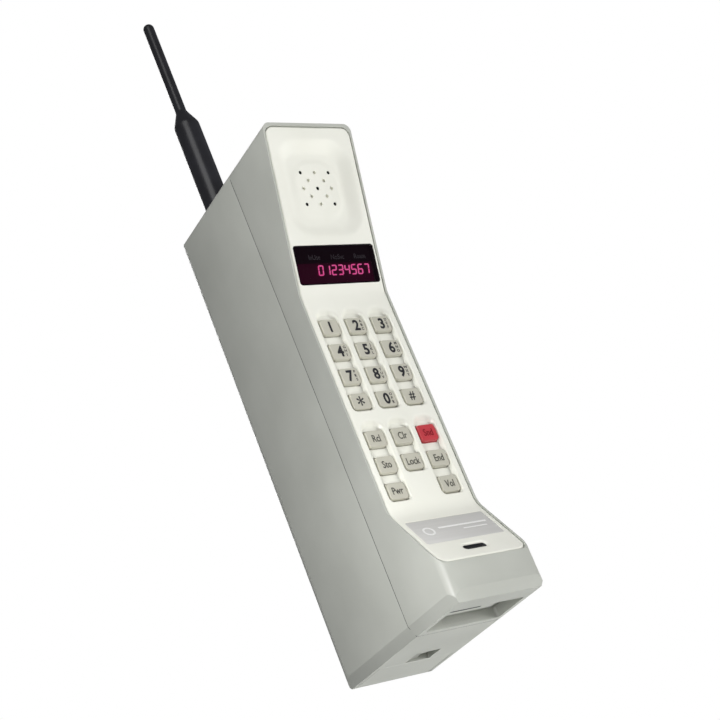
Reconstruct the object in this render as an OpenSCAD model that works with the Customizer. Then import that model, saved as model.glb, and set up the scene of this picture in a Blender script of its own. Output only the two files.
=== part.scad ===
// Early mobile brick phone: an upright handset in two shells with a cream face plate, twenty sprung keys,
// a lit number display, a screw-in rod antenna and a battery pack that lifts off the back.
// +Z runs up the phone, the face looks toward -Y, and the origin is the centre of the base.

/* [Body] */
// Width of the body
body_w = 44.45; // [42:0.05:56]
// Depth of the body, from the back to the foremost edge
body_d = 88.9; // [86:0.1:108]
// Height of the body at the front of the top
body_h = 216; // [210:1:262]
// How much lower the top is at the back
top_drop = 2.3; // [0:0.1:4]
// Wall of the shells
wall = 2; // [1.8:0.1:2.6]
// Floor of the shells
floor_t = 2.4; // [2:0.1:3]
// Top wall at its thinnest
roof_t = 2.6; // [2:0.1:4]
// Depth of the front shell, from the foremost edge to the parting line
front_shell_d = 34.25; // [33:0.25:38]
// Radius of the upright corners at the back
rear_r = 6; // [3:0.5:7]
// Radius of the upright corners of the chin
chin_r = 4.5; // [2:0.5:6]
// Radius of the top corners, seen from the front
top_r = 3.5; // [1:0.5:5]
// Height of the bevel around the base
bevel_h = 4.4; // [2:0.2:6]
// How far the bevel runs in at the base
bevel_in = 2.2; // [1:0.2:3]
// Width of the groove on the parting line
seam_w = 0.3; // [0.1:0.1:0.6]
// Depth of the groove on the parting line
seam_depth = 0.6; // [0.2:0.1:1]

/* [Face] */
// How far the keypad plane lies behind the foremost edge
waist_inset = 20.35; // [18:0.25:21]
// Height of the earpiece section, from the upper bend to the top
ear_len = 72.1; // [70:0.5:80]
// Height of the lower bend
chin_z = 44.1; // [42:0.5:48]
// Height of the edge between the face plate and the chin
lip_z = 15.6; // [14:0.5:18]
// How far that edge lies behind the foremost edge
lip_inset = 2.35; // [1.5:0.1:3]
// How far the foot of the chin lies behind the foremost edge
toe_inset = 1.45; // [0.8:0.1:2]
// Radius of the upper bend
ear_bend_r = 12; // [4:1:20]
// Radius of the lower bend
chin_bend_r = 12; // [4:1:20]
// Thickness of the face plate, along Y
plate_t = 3.2; // [3:0.1:3.6]
// Width of the shell's rim beside the face plate
rim_w = 0.8; // [0.5:0.1:1.2]
// Gap around the face plate
plate_gap = 0.05; // [0.02:0.01:0.15]
// Corner radius of the face plate
plate_r = 4; // [2:0.5:6]
// Height of the rim above the face plate
top_rim = 1.3; // [1:0.1:2]

/* [Earpiece] */
// Distance of the earpiece centre below the top
ear_drop = 27.3; // [26:0.5:32]
// Width of the dished area
dish_w = 37; // [30:0.5:38]
// Height of the dished area, along the face
dish_h = 43; // [36:0.5:44]
// Depth of the dished area
dish_depth = 1.7; // [0.8:0.1:1.9]
// Width of the raised pad in the dish
pad_w = 23; // [18:0.5:28]
// Height of the raised pad in the dish
pad_h = 27; // [20:0.5:30]
// Height of the raised pad
pad_rise = 0.7; // [0.3:0.1:1]
// Radius of a sound hole
sound_r = 0.7; // [0.4:0.05:0.9]
// Spacing of the rows of sound holes
sound_pitch = 3.5; // [2.5:0.1:4]
// Radius of the earpiece speaker
speaker_r = 14.5; // [10:0.5:15]
// Thickness of the earpiece speaker
speaker_t = 6; // [4:0.5:8]
// Thickness of the foam ring in front of the speaker
gasket_t = 1.4; // [1:0.1:2]

/* [Display] */
// Distance of the display centre below the top
display_drop = 59.95; // [59:0.25:62]
// Width of the display lens
lens_w = 40.2; // [36:0.2:40.4]
// Height of the display lens, along the face
lens_h = 16.9; // [12:0.1:18]
// Thickness of the display lens
lens_t = 1.4; // [1:0.1:1.6]
// Corner radius of the display lens
lens_r = 1.4; // [0.5:0.1:3]
// Width of the ledge that holds the display lens
lens_ledge = 1; // [0.6:0.1:1.5]
// Number of digits on the display
digit_count = 8; // [6:1:9]
// Spacing of the digits
digit_pitch = 3.3; // [3:0.1:3.6]

/* [Keypad] */
// Width of a key
key_w = 9; // [8:0.1:9.4]
// Height of a key
key_h = 7.6; // [7:0.1:8]
// Corner radius of a key
key_r = 1.3; // [0.4:0.1:2]
// Spacing of the columns of keys
key_pitch_x = 12.8; // [12.4:0.1:13.4]
// Spacing of the rows of keys
key_pitch_z = 11.55; // [11:0.05:12]
// Distance of the first row of number keys below the upper bend
number_drop = 15.3; // [15:0.1:16]
// Distance of the first row of function keys below the upper bend
function_drop = 66.9; // [66:0.1:68]
// Depth of the channels that the keys lie in
channel_depth = 2; // [1.6:0.1:2.2]
// Width of the channels that the keys lie in
channel_w = 11.4; // [10.4:0.1:12]
// How far a key stands above the floor of its channel
key_rise = 1.7; // [1.2:0.1:2.2]
// How far a key travels
key_travel = 1; // [0.6:0.1:1]
// Gap around a key
key_gap = 0.25; // [0.15:0.05:0.4]
// Thickness of the flange that keeps a key in
key_flange_t = 0.8; // [0.6:0.1:1]
// How far the flange reaches past the key
key_flange_w = 0.6; // [0.4:0.1:0.8]
// Length of the post behind a key
key_post = 0.6; // [0.4:0.1:0.8]

/* [Chin] */
// Width of the nameplate
name_w = 37.6; // [30:0.2:38]
// Height of the nameplate, along the face
name_h = 15.4; // [10:0.2:16]
// Height of the centre of the nameplate
name_z = 32.3; // [31:0.1:34]
// Thickness of the nameplate
name_t = 0.5; // [0.3:0.1:0.8]
// Width of the microphone slot
slot_w = 11; // [8:0.5:14]
// Height of the microphone slot
slot_h = 3; // [2:0.1:4]
// Height of the centre of the microphone slot
slot_z = 21.6; // [21:0.1:23]
// Radius of the microphone
mic_r = 3.9; // [3:0.1:4]
// Length of the microphone
mic_len = 5; // [4:0.5:7]
// Wall of the rubber boot around the microphone
boot_wall = 1.1; // [0.8:0.1:1.2]

/* [Base] */
// Width of the connector recess in the base
recess_w = 36; // [30:0.5:37]
// Depth of the connector recess, along Y
recess_d = 19; // [17:0.5:20]
// Height of the connector recess
recess_h = 4.6; // [4.4:0.1:5.5]
// Distance of the recess behind the front edge of the base
recess_lip = 8.8; // [6:0.1:9]
// Width of the accessory connector
plug_w = 18; // [14:0.5:24]
// Depth of the accessory connector, along Y
plug_d = 8; // [6:0.5:8]
// Distance of the accessory connector behind the front of its recess
plug_in = 8; // [5:0.5:8]
// Number of pins in the accessory connector
pin_count = 9; // [5:1:11]
// Spacing of the pins
pin_pitch = 1.6; // [1.4:0.1:2]

/* [Battery] */
// Depth of the battery bay, from the back
bay_d = 22.45; // [21:0.05:27]
// Width of the battery bay
bay_w = 36.8; // [35:0.2:38]
// Height of the battery bay
bay_h = 150; // [146:1:156]
// Gap between the battery pack and its bay
pack_gap = 0.2; // [0.15:0.05:0.4]
// Wall of the battery pack
pack_wall = 1.6; // [1.2:0.1:2]
// Radius of a battery cell
cell_r = 7.1; // [6:0.1:7.2]
// Length of a battery cell
cell_len = 47; // [44:0.5:47.5]
// Width of the latch notch in the base
notch_w = 12; // [10:0.5:14]
// Depth of the latch notch, along Y
notch_d = 9.5; // [8:0.5:10]
// How far the latch slides
latch_travel = 3; // [2:0.5:3.5]
// Gap around the sliding parts of the latch
latch_gap = 0.1; // [0.05:0.05:0.2]

/* [Antenna] */
// Distance of the antenna axis from the back
antenna_back = 19; // [17:0.5:20]
// Distance of the antenna axis left of the middle
antenna_left = 7.3; // [5:0.1:9]
// Height of the antenna tip above the base
antenna_tip_z = 330.2; // [300:0.5:396]
// Radius of the thin upper rod
rod_r = 2.6; // [2:0.1:3]
// Length of the thin upper rod
rod_len = 53; // [40:1:65]
// Length of the cone between the thin and thick parts
cone_len = 7.6; // [4:0.2:10]
// Radius of the thick lower sleeve
sleeve_r = 6; // [4.5:0.1:6.5]
// Radius of the stud that screws into the socket
stud_r = 3.9; // [3:0.1:4.7]
// Length of the stud
stud_len = 9; // [7:0.5:10]
// Running gap around the stud
stud_gap = 0.08; // [0.02:0.01:0.1]
// Thickness of the rubber seal under the sleeve
seal_t = 1; // [0.8:0.1:1.5]
// Thickness of the socket flange
socket_flange_t = 1; // [0.8:0.1:1.5]

/* [Inside] */
// Thickness of a circuit board
board_t = 1.6; // [1:0.1:1.6]
// Gap between a board and the shell
board_gap = 0.4; // [0.3:0.1:1]
// Thickness of the metal chassis
chassis_t = 2; // [1.5:0.1:2.5]
// Thickness of the rubber sheet behind the keys
mat_t = 0.8; // [0.6:0.1:1]
// Distance from the chassis to the main board in front of it
logic_stand = 2.6; // [2.4:0.1:2.8]
// Distance from the chassis to the radio board behind it
radio_stand = 4; // [3:0.5:6]
// Radius of a shell screw's shank
screw_r = 1.2; // [1:0.1:1.5]
// Radius of a shell screw's head
screw_head_r = 2.3; // [2:0.1:2.5]
// Distance of the shell screws in from the sides
screw_inset = 5.6; // [5.2:0.1:6]
// Distance of the upper shell screws below the top
high_screw_drop = 26; // [24:0.5:30]
// Length of a shell screw's thread in the front shell
screw_reach = 12; // [8:0.5:12]
// Radius of a board screw's shank
small_screw_r = 0.8; // [0.6:0.1:1]
// Gap between a screw's shank and its hole
screw_gap = 0.05; // [0.02:0.01:0.1]

/* [Hidden] */
$fn = 64;
half_w = body_w / 2;
front_y = -body_d / 2;
back_y = body_d / 2;
part_y = front_y + front_shell_d;
waist_y = front_y + waist_inset;
lip_y = front_y + lip_inset;
toe_y = front_y + toe_inset;
ear_z = body_h - ear_len;
inner_w = body_w - 2 * wall;
roof_z = body_h - top_drop - roof_t;
ear_tilt = atan((waist_y - front_y) / ear_len);
chin_tilt = -atan((waist_y - lip_y) / (chin_z - lip_z));
plate_w = body_w - 2 * rim_w - 2 * plate_gap;
plate_top = body_h - top_rim;
ear_t = plate_t * cos(ear_tilt);
chin_t = plate_t * cos(chin_tilt);
recess_floor = recess_h + floor_t;
recess_front = toe_y + bevel_in + recess_lip;
bay_front = back_y - bay_d;
bay_wall_y = bay_front - wall;
pack_front = bay_front + pack_gap;
pack_w = bay_w - 2 * pack_gap;
pack_h = bay_h - pack_gap;
number_z = ear_z - number_drop;
function_z = ear_z - function_drop;
plate_back = waist_y + plate_t;
key_top = waist_y + channel_depth - key_rise;
mat_y = plate_back + key_flange_t + key_post + key_travel + 0.1;
key_board_y = mat_y + mat_t;
logic_y = part_y - logic_stand - board_t;
chassis_back = part_y + chassis_t;
radio_y = chassis_back + radio_stand;
radio_back = radio_y + board_t;
board_w = inner_w - 2 * board_gap;
low_screw_z = recess_floor + screw_head_r + 2.4;
high_screw_z = body_h - high_screw_drop;
screw_x = half_w - screw_inset;
boss_r = screw_inset - wall + 0.2;
screw_seat_y = bay_wall_y - 8;
antenna_x = -antenna_left;
antenna_y = back_y - antenna_back;
spot_z = body_h - top_drop - 0.5;
socket_top = spot_z + socket_flange_t;
sleeve_z = socket_top + seal_t;
post_r = 2;

// ---- Helpers -------------------------------------------------------------------------------------

function unit(v) = v / norm(v);

// Points of the arc that rounds the corner b between a and c.
function rounded_corner(a, b, c, r, steps = 8) =
    let (u = unit(a - b), w = unit(c - b), half = acos(u * w) / 2,
         o = b + unit(u + w) * r / sin(half),
         s = b + u * r / tan(half) - o, e = b + w * r / tan(half) - o,
         from = atan2(s[1], s[0]), turn = atan2(s[0] * e[1] - s[1] * e[0], s * e))
    [for (i = [0:steps]) o + r * [cos(from + turn * i / steps), sin(from + turn * i / steps)]];

face_top = [front_y, body_h];
upper_bend = [waist_y, ear_z];
lower_bend = [waist_y, chin_z];
lip = [lip_y, lip_z];

// The face as seen from the side, from the lip up to the top, in Y and Z.
face_line = concat([lip],
    rounded_corner(lip, lower_bend, upper_bend, chin_bend_r),
    rounded_corner(lower_bend, upper_bend, face_top, ear_bend_r),
    [face_top]);

function shifted(line, y) = [for (p = line) [p[0] + y, p[1]]];
function reversed(list) = [for (i = [len(list) - 1:-1:0]) list[i]];

// Height of the top at a place along Y.
function roof_at(y) = body_h - top_drop * (y - front_y) / body_d;

// Extrudes an outline drawn in Y and Z across the width.
module across(w) {
    rotate([90, 0, 90]) translate([0, 0, -w / 2]) linear_extrude(w) children();
}

// Extrudes an outline drawn in X and Z from y0 to y1.
module through(y0, y1) {
    translate([0, y1, 0]) rotate([90, 0, 0]) linear_extrude(y1 - y0) children();
}

// A box centred on x, from y0 to y1 and z0 to z1.
module block(x, w, y0, y1, z0, z1) {
    translate([x - w / 2, y0, z0]) cube([w, y1 - y0, z1 - z0]);
}

// A rod along Y.
module rod_y(x, z, r, y0, y1) {
    translate([x, y0, z]) rotate([-90, 0, 0]) cylinder(h = y1 - y0, r = r);
}

module rounded_rect(w, h, r) {
    square([w - 2 * r, h], center = true);
    square([w, h - 2 * r], center = true);
    for (x = [-1, 1], y = [-1, 1]) translate([x * (w / 2 - r), y * (h / 2 - r)]) circle(r);
}

module stadium(w, h) {
    square([w - h, h], center = true);
    for (x = [-1, 1]) translate([x * (w - h) / 2, 0]) circle(h / 2);
}

// Stands its child on the earpiece section: X across, Y up the face, Z out of it.
module on_ear(drop) {
    y = front_y + (waist_y - front_y) * drop / ear_len;
    translate([0, y, body_h - drop]) rotate([90 + ear_tilt, 0, 0]) children();
}

// Stands its child on the sloping chin in the same way.
module on_chin(z) {
    y = lip_y + (waist_y - lip_y) * (z - lip_z) / (chin_z - lip_z);
    translate([0, y, z]) rotate([90 + chin_tilt, 0, 0]) children();
}

// A slab that lies between two depths under the surface it stands on.
module layer(from, to) {
    translate([0, 0, -to]) linear_extrude(to - from) children();
}

// A band that follows the face, between two depths along Y.
module face_band(w, from, to) {
    across(w) polygon(concat(shifted(face_line, from), reversed(shifted(face_line, to))));
}

// ---- Shells --------------------------------------------------------------------------------------

module side_outline() {
    polygon(concat([[toe_y + bevel_in, 0], [toe_y, bevel_h]], face_line,
        [[back_y, body_h - top_drop], [back_y, bevel_h], [back_y - bevel_in, 0]]));
}

module front_outline() {
    polygon([[bevel_in - half_w, 0], [half_w - bevel_in, 0], [half_w, bevel_h],
        [half_w, body_h - top_r], [-half_w, body_h - top_r], [-half_w, bevel_h]]);
    translate([0, body_h / 2]) square([body_w - 2 * top_r, body_h], center = true);
    for (x = [-1, 1]) translate([x * (half_w - top_r), body_h - top_r]) circle(top_r);
}

module plan_outline() {
    translate([-half_w, front_y - 1]) square([body_w, body_d + 1 - rear_r]);
    translate([rear_r - half_w, 0]) square([body_w - 2 * rear_r, back_y]);
    for (x = [-1, 1]) translate([x * (half_w - rear_r), back_y - rear_r]) circle(rear_r);
}

module chin_corners() {
    for (x = [-1, 1]) translate([x * (half_w - chin_r), toe_y + chin_r, -1]) linear_extrude(chin_z)
        difference() {
            translate([x > 0 ? 0 : -2 * chin_r, -2 * chin_r]) square(2 * chin_r);
            circle(chin_r);
        }
}

// The whole outside of the phone, without its antenna.
module body_solid() {
    difference() {
        intersection() {
            across(body_w + 2) side_outline();
            through(front_y - 1, back_y + 1) front_outline();
            translate([0, 0, -1]) linear_extrude(body_h + 2) plan_outline();
        }
        chin_corners();
    }
}

module seam() {
    difference() {
        block(0, body_w + 2, part_y - seam_w / 2, part_y + seam_w / 2, -1, body_h + 1);
        block(0, body_w - 2 * seam_depth, part_y - 1, part_y + 1, seam_depth, roof_at(part_y) - seam_depth);
    }
}

module shell_half(y0, y1) {
    difference() {
        intersection() {
            body_solid();
            block(0, body_w + 2, y0, y1, -1, body_h + 1);
        }
        seam();
    }
}

module connector_recess() {
    translate([0, recess_front + recess_d / 2, -1]) linear_extrude(recess_h + 1)
        rounded_rect(recess_w, recess_d, 1.5);
}

module front_housing() {
    color("#b4b6af") difference() {
        union() {
            difference() {
                shell_half(front_y - 1, part_y);
                across(inner_w) polygon(concat([[part_y + 1, recess_floor], [toe_y + plate_t, recess_floor]],
                    shifted([for (p = face_line) if (p[1] < roof_z) p], plate_t),
                    [[face_top[0] + plate_t, roof_z], [part_y + 1, roof_z]]));
            }
            for (x = [-1, 1]) {
                rod_y(x * screw_x, low_screw_z, boss_r, lip_y + 2, part_y);
                rod_y(x * screw_x, high_screw_z, boss_r, part_y - screw_reach - 1, part_y);
            }
        }
        intersection() {
            face_band(body_w, -2, plate_t);
            through(front_y - 3, part_y) translate([0, (lip_z + plate_top) / 2])
                rounded_rect(plate_w + 2 * plate_gap, plate_top - lip_z + 2 * plate_gap, plate_r + plate_gap);
        }
        connector_recess();
        translate([0, connector_y, recess_h - 1]) linear_extrude(floor_t + 2)
            square([plug_w + 0.1, plug_d + 0.1], center = true);
        for (x = [-1, 1], z = [low_screw_z, high_screw_z])
            rod_y(x * screw_x, z, screw_r + screw_gap, part_y - screw_reach - 0.5, part_y + 1);
    }
}

module rear_housing() {
    color("#b0b2ab") difference() {
        union() {
            difference() {
                shell_half(part_y, back_y + 1);
                block(0, inner_w, part_y - 1, bay_wall_y, floor_t, roof_z);
                block(0, inner_w, part_y - 1, back_y - wall, bay_h + wall, roof_z);
                block(0, bay_w, bay_front, back_y + 1, -1, bay_h);
            }
            for (x = [-1, 1]) {
                rod_y(x * screw_x, low_screw_z, boss_r, chassis_back, bay_wall_y + 0.5);
                rod_y(x * screw_x, high_screw_z, boss_r, chassis_back, back_y - wall + 0.5);
            }
        }
        for (x = [-1, 1], z = [low_screw_z, high_screw_z]) {
            rod_y(x * screw_x, z, screw_r + screw_gap, part_y, back_y + 1);
            rod_y(x * screw_x, z, screw_head_r + 0.2, screw_seat_y, back_y + 1);
        }
        block(0, notch_w, bay_front - notch_d, bay_front + 1, -1, floor_t + 0.01);
        latch_opening();
        terminal_opening();
        translate([antenna_x, antenna_y, spot_z]) cylinder(h = 5, r = socket_r + 0.3);
        translate([antenna_x, antenna_y, roof_z - 1]) cylinder(h = 9, r = barrel_r + screw_gap);
    }
}

// ---- Face ----------------------------------------------------------------------------------------

column_x = [-key_pitch_x, 0, key_pitch_x];
function key_z(group_z, row) = group_z - row * key_pitch_z;
arch_over = 4.8;
channel_under = 1;
board_post_places = [[-1, number_z + 9.3], [1, number_z + 9.3], [-1, (number_z + function_z) / 2 - key_pitch_z * 1.5],
    [1, (number_z + function_z) / 2 - key_pitch_z * 1.5], [-1, key_z(function_z, 2) - 8], [1, key_z(function_z, 2) - 8]];
board_post_x = 11;

// One channel that a column of keys lies in, from its arched top down to its last key.
module channel(x, top_z, rows) {
    high = top_z + key_h / 2 + arch_over;
    low = key_z(top_z, rows - 1) - key_h / 2 - channel_under;
    through(waist_y - 3, waist_y + channel_depth) translate([x, (high + low) / 2])
        rounded_rect(channel_w, high - low, 2.6);
}

module key_holes(top_z, rows, skip_middle = false) {
    for (row = [0:rows - 1], x = column_x)
        if (!(skip_middle && x == 0 && row == rows - 1))
            through(waist_y - 1, waist_y + plate_t + 1) translate([x, key_z(top_z, row)])
                rounded_rect(key_w + 2 * key_gap, key_h + 2 * key_gap, key_r + key_gap);
}

// Places of the sound holes: rows of three and two in turn.
sound_places = [for (row = [-2:2], i = [-1:1])
    if (row % 2 == 0 || i != 0) [i * (row % 2 == 0 ? 2 : 1.1) * sound_pitch, row * sound_pitch]];

module face_plate() {
    color("#f2f2e9") difference() {
        union() {
            difference() {
                intersection() {
                    face_band(plate_w, 0, plate_t);
                    through(front_y - 3, part_y) translate([0, (lip_z + plate_top) / 2])
                        rounded_rect(plate_w, plate_top - lip_z, plate_r);
                }
                on_ear(ear_drop) layer(-3, dish_depth) rounded_rect(dish_w, dish_h, 7);
            }
            on_ear(ear_drop) layer(dish_depth - pad_rise, dish_depth + 0.2) rounded_rect(pad_w, pad_h, 9);
            for (p = board_post_places) rod_y(p[0] * board_post_x, p[1], post_r, plate_back - 0.5, key_board_y);
            for (x = [-1, 1]) on_ear(display_drop + lens_h / 2 + 1.6) translate([x * 15, 0, 0])
                layer(ear_t - 0.5, display_depth) circle(1.4);
            for (x = [-1, 1]) on_ear(display_drop - lens_h / 2 - 1.6) translate([x * 15, 0, 0])
                layer(ear_t - 0.5, display_depth) circle(1.4);
        }
        on_ear(ear_drop) for (p = sound_places) translate(p) layer(0, ear_t + 1) circle(sound_r);
        on_ear(display_drop) layer(-1, lens_t + lens_sunk) rounded_rect(lens_w + 0.1, lens_h + 0.1, lens_r);
        on_ear(display_drop) layer(0, ear_t + 1) square([lens_w - 2 * lens_ledge, lens_h - 2 * lens_ledge], center = true);
        for (x = column_x) {
            channel(x, number_z, 4);
            channel(x, function_z, x == 0 ? 2 : 3);
        }
        key_holes(number_z, 4);
        key_holes(function_z, 3, true);
        on_chin(name_z) layer(-1, name_t) rounded_rect(name_w + 0.1, name_h + 0.1, 1);
        on_chin(slot_z) layer(-1, chin_t + 1) stadium(slot_w, slot_h);
        for (p = board_post_places)
            rod_y(p[0] * board_post_x, p[1], small_screw_r + screw_gap, plate_back + 0.4, key_board_y + 1);
    }
}

lens_sunk = 0.1;

module display_lens() {
    color("#17060f") on_ear(display_drop) layer(lens_sunk, lens_sunk + lens_t) rounded_rect(lens_w, lens_h, lens_r);
}

module nameplate() {
    color("#cacacc") on_chin(name_z) layer(0.05, name_t) rounded_rect(name_w, name_h, 1);
}

// ---- Keys ----------------------------------------------------------------------------------------

module key(col, z, tint) {
    x = column_x[col];
    color(tint) {
        through(key_top, plate_back + 0.1) translate([x, z]) rounded_rect(key_w, key_h, key_r);
        block(x, key_w + 2 * key_flange_w, plate_back, plate_back + key_flange_t,
            z - key_h / 2 - key_flange_w, z + key_h / 2 + key_flange_w);
        rod_y(x, z, 1.8, plate_back + key_flange_t - 0.1, plate_back + key_flange_t + key_post);
    }
}

module number_key(col, row) { key(col, key_z(number_z, row), "#c9c7bb"); }

module function_key(col, row) { key(col, key_z(function_z, row), "#c9c7bb"); }

module send_key(col, row) { key(col, key_z(function_z, row), "#d9404a"); }

module keypad_mat() {
    color("#3b3d40") difference() {
        block(0, board_w, mat_y, mat_y + mat_t, key_z(function_z, 2) - 11, number_z + 12);
        for (p = board_post_places) rod_y(p[0] * board_post_x, p[1], post_r + 0.2, mat_y - 1, mat_y + mat_t + 1);
    }
}

module keypad_board() {
    color("#2f6b45") difference() {
        block(0, board_w, key_board_y, key_board_y + board_t, key_z(function_z, 2) - 11, number_z + 12);
        for (p = board_post_places)
            rod_y(p[0] * board_post_x, p[1], small_screw_r + screw_gap, key_board_y - 1, key_board_y + board_t + 1);
    }
}

module board_screws() {
    color("#b9bcc0") for (p = board_post_places) {
        rod_y(p[0] * board_post_x, p[1], small_screw_r, plate_back + 0.6, key_board_y + board_t + 0.1);
        rod_y(p[0] * board_post_x, p[1], 1.7, key_board_y + board_t, key_board_y + board_t + 0.8);
    }
}

// ---- Earpiece, display and microphone ------------------------------------------------------------

module speaker_gasket() {
    color("#2b2b2b") on_ear(ear_drop) layer(ear_t, ear_t + gasket_t) difference() {
        circle(speaker_r);
        circle(speaker_r - 3);
    }
}

module earpiece_speaker() {
    color("#6d7076") on_ear(ear_drop) difference() {
        union() {
            layer(ear_t + gasket_t, ear_t + gasket_t + 3) circle(speaker_r);
            layer(ear_t + gasket_t + 2.9, ear_t + gasket_t + speaker_t) circle(speaker_r * 0.6);
        }
        layer(ear_t + gasket_t - 1, ear_t + gasket_t + 1) circle(speaker_r - 2);
    }
}

display_depth = 5.6;

module display_board() {
    color("#2f6b45") on_ear(display_drop) layer(display_depth, display_depth + board_t)
        square([37, lens_h + 6], center = true);
}

module led_display() {
    color("#7a1230") on_ear(display_drop) {
        translate([digit_x(digit_count / 2 - 0.5), -2, 0]) layer(display_depth - 1.4, display_depth)
            square([digit_count * digit_pitch + 1, 8], center = true);
        for (i = [0:digit_count - 1]) translate([digit_x(i), -2, 0])
            layer(display_depth - 2, display_depth - 1.3) rounded_rect(digit_pitch - 0.4, 6, 0.8);
    }
}

// Middle of a digit, counted from the left: the row of digits ends near the lens's right side.
function digit_x(i) = lens_w / 2 - 3.2 - (digit_count - 1 - i) * digit_pitch;

module mic_boot() {
    color("#2a2a2c") on_chin(slot_z) difference() {
        layer(chin_t, chin_t + mic_len + boot_wall)
            rounded_rect(slot_w + 2 * boot_wall, 2 * (mic_r + boot_wall), boot_wall);
        layer(chin_t - 1, chin_t + mic_len) circle(mic_r + 0.02);
    }
}

module microphone() {
    color("#c2c4c8") on_chin(slot_z) difference() {
        layer(chin_t, chin_t + mic_len) circle(mic_r);
        layer(chin_t - 1, chin_t + 0.4) circle(mic_r - 1);
    }
}

// ---- Boards and radio ----------------------------------------------------------------------------

logic_top_drop = 62;
logic_low_drop = 14;
radio_top_drop = 30;
radio_rise = 8;
logic_top = body_h - logic_top_drop;
logic_low = chin_z - logic_low_drop;
radio_top = body_h - radio_top_drop;
radio_low = recess_floor + radio_rise;
stand_in = 3;
stand_x = board_w / 2 - stand_in;
stand_end = 4;
stand_r = 2;
radio_stand_in = 6;

module logic_board() {
    color("#2c6742") difference() {
        block(0, board_w, logic_y, logic_y + board_t, logic_low, logic_top);
        for (x = [-1, 1], z = [logic_low + stand_end, logic_top - stand_end])
            rod_y(x * stand_x, z, small_screw_r, logic_y - 1, logic_y + board_t + 1);
    }
}

chip_count = 5;

module logic_chips() {
    step = (logic_top - logic_low - 24) / chip_count;
    color("#1f2023") for (i = [0:chip_count - 1]) {
        block(-6, 16, logic_y + board_t, logic_y + board_t + 1.8, logic_low + 10 + i * step, logic_low + 20 + i * step);
        block(10, 9, logic_y + board_t, logic_y + board_t + 1.4, logic_low + 12 + i * step, logic_low + 18 + i * step);
    }
}

cable_z = key_z(function_z, 2) - 3;
cable_w = 14;
cable_t = 0.3;
cutout_w = 24;
cutout_margin = 6;

module flat_cable() {
    color("#c9a66b") {
        block(0, cable_w, key_board_y + board_t, logic_y, cable_z, cable_z + cable_t);
    }
}

module chassis() {
    color("#a9adb1") difference() {
        union() {
            block(0, inner_w - 0.2, part_y, chassis_back, recess_floor + 0.2, roof_z - 0.2);
            for (x = [-1, 1]) {
                for (z = [logic_low + stand_end, logic_top - stand_end]) {
                    rod_y(x * stand_x, z, stand_r, part_y - logic_stand, part_y + 0.5);
                    rod_y(x * stand_x, z, small_screw_r - screw_gap, logic_y + 0.3, part_y + 0.5);
                }
                for (z = [radio_low + stand_end, radio_top - stand_end])
                    rod_y(x * (stand_x - radio_stand_in), z, stand_r, chassis_back - 0.5, radio_y);
            }
        }
        for (x = [-1, 1], z = [low_screw_z, high_screw_z])
            rod_y(x * screw_x, z, screw_r + screw_gap, part_y - 1, chassis_back + 1);
        block(0, cutout_w, part_y - 1, chassis_back + 1, logic_top + cutout_margin, roof_z - 2 * cutout_margin);
    }
}

module radio_board() {
    color("#2a5f57") block(0, board_w - 2 * radio_stand_in, radio_y, radio_back, radio_low, radio_top);
}

can_w = 12;
can_gap = 1;
can_low = radio_low + 14;
high_can = 44;
low_can = 18;

module radio_shield() {
    color("#c7cacc") {
        block(-(can_w + can_gap) / 2, can_w, radio_back, radio_back + 7, can_low, can_low + high_can);
        block(-(can_w + can_gap) / 2, can_w, radio_back, radio_back + 5, can_low + high_can + 2 * can_gap,
            can_low + high_can + 2 * can_gap + low_can);
    }
}

fin_count = 6;
fin_pitch = 5;
fin_t = 1.4;

module power_amplifier() {
    color("#9fa3a8") {
        block((can_w + can_gap) / 2, can_w, radio_back, radio_back + 3, can_low, can_low + fin_count * fin_pitch);
        for (i = [0:fin_count - 1]) block((can_w + can_gap) / 2, can_w, radio_back + 2.9, radio_back + 9,
            can_low + 1 + i * fin_pitch, can_low + 1 + fin_t + i * fin_pitch);
    }
}

duplexer_low = bay_h + wall + 4;
duplexer_h = 18;

module duplexer() {
    color("#b58a52") difference() {
        block(0, board_w - 14, radio_back, radio_back + 14, duplexer_low, duplexer_low + duplexer_h);
        for (i = [-2:2]) translate([i * 4.6, radio_back + 7, duplexer_low + 6]) cylinder(h = duplexer_h, r = 1.3);
    }
}

lead_r = 1.1;
lead_bend = 5;
lead_z = duplexer_low + duplexer_h / 2;

// The short aerial lead: down from the socket, round one bend and into the duplexer.
module antenna_lead() {
    color("#26262a") translate([antenna_x, 0, 0]) {
        translate([0, antenna_y, lead_z + lead_bend]) cylinder(h = socket_low - lead_z - lead_bend, r = lead_r);
        translate([0, antenna_y - lead_bend, lead_z + lead_bend]) rotate([0, 90, 0])
            rotate_extrude(angle = 90) translate([lead_bend, 0]) circle(lead_r);
        rod_y(0, lead_z, lead_r, radio_back + 14, antenna_y - lead_bend);
    }
}

module ringer() {
    color("#303236") difference() {
        rod_y(7, duplexer_low + 12, 8, back_y - wall - 6, back_y - wall);
        rod_y(7, duplexer_low + 12, 1.5, back_y - wall - 7, back_y - wall - 4);
    }
}

// ---- Base connector ------------------------------------------------------------------------------

connector_y = recess_front + plug_d / 2 + plug_in;

module accessory_connector() {
    color("#1b1b1d") translate([0, connector_y, 0]) difference() {
        union() {
            translate([-plug_w / 2, -plug_d / 2, recess_h]) cube([plug_w, plug_d, floor_t + 3]);
            translate([-plug_w / 2 - 1.5, -plug_d / 2 - 1.5, recess_floor]) cube([plug_w + 3, plug_d + 3, 1]);
        }
        translate([-plug_w / 2 + 1, -1.6, recess_h - 1]) cube([plug_w - 2, 3.2, 4.5]);
    }
}

module connector_pins() {
    color("#c9a24a") for (i = [0:pin_count - 1])
        translate([(i - (pin_count - 1) / 2) * pin_pitch - 0.3, connector_y - 0.5, recess_h + 0.8])
            cube([0.6, 1, 2.7]);
}

// ---- Antenna -------------------------------------------------------------------------------------

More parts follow.
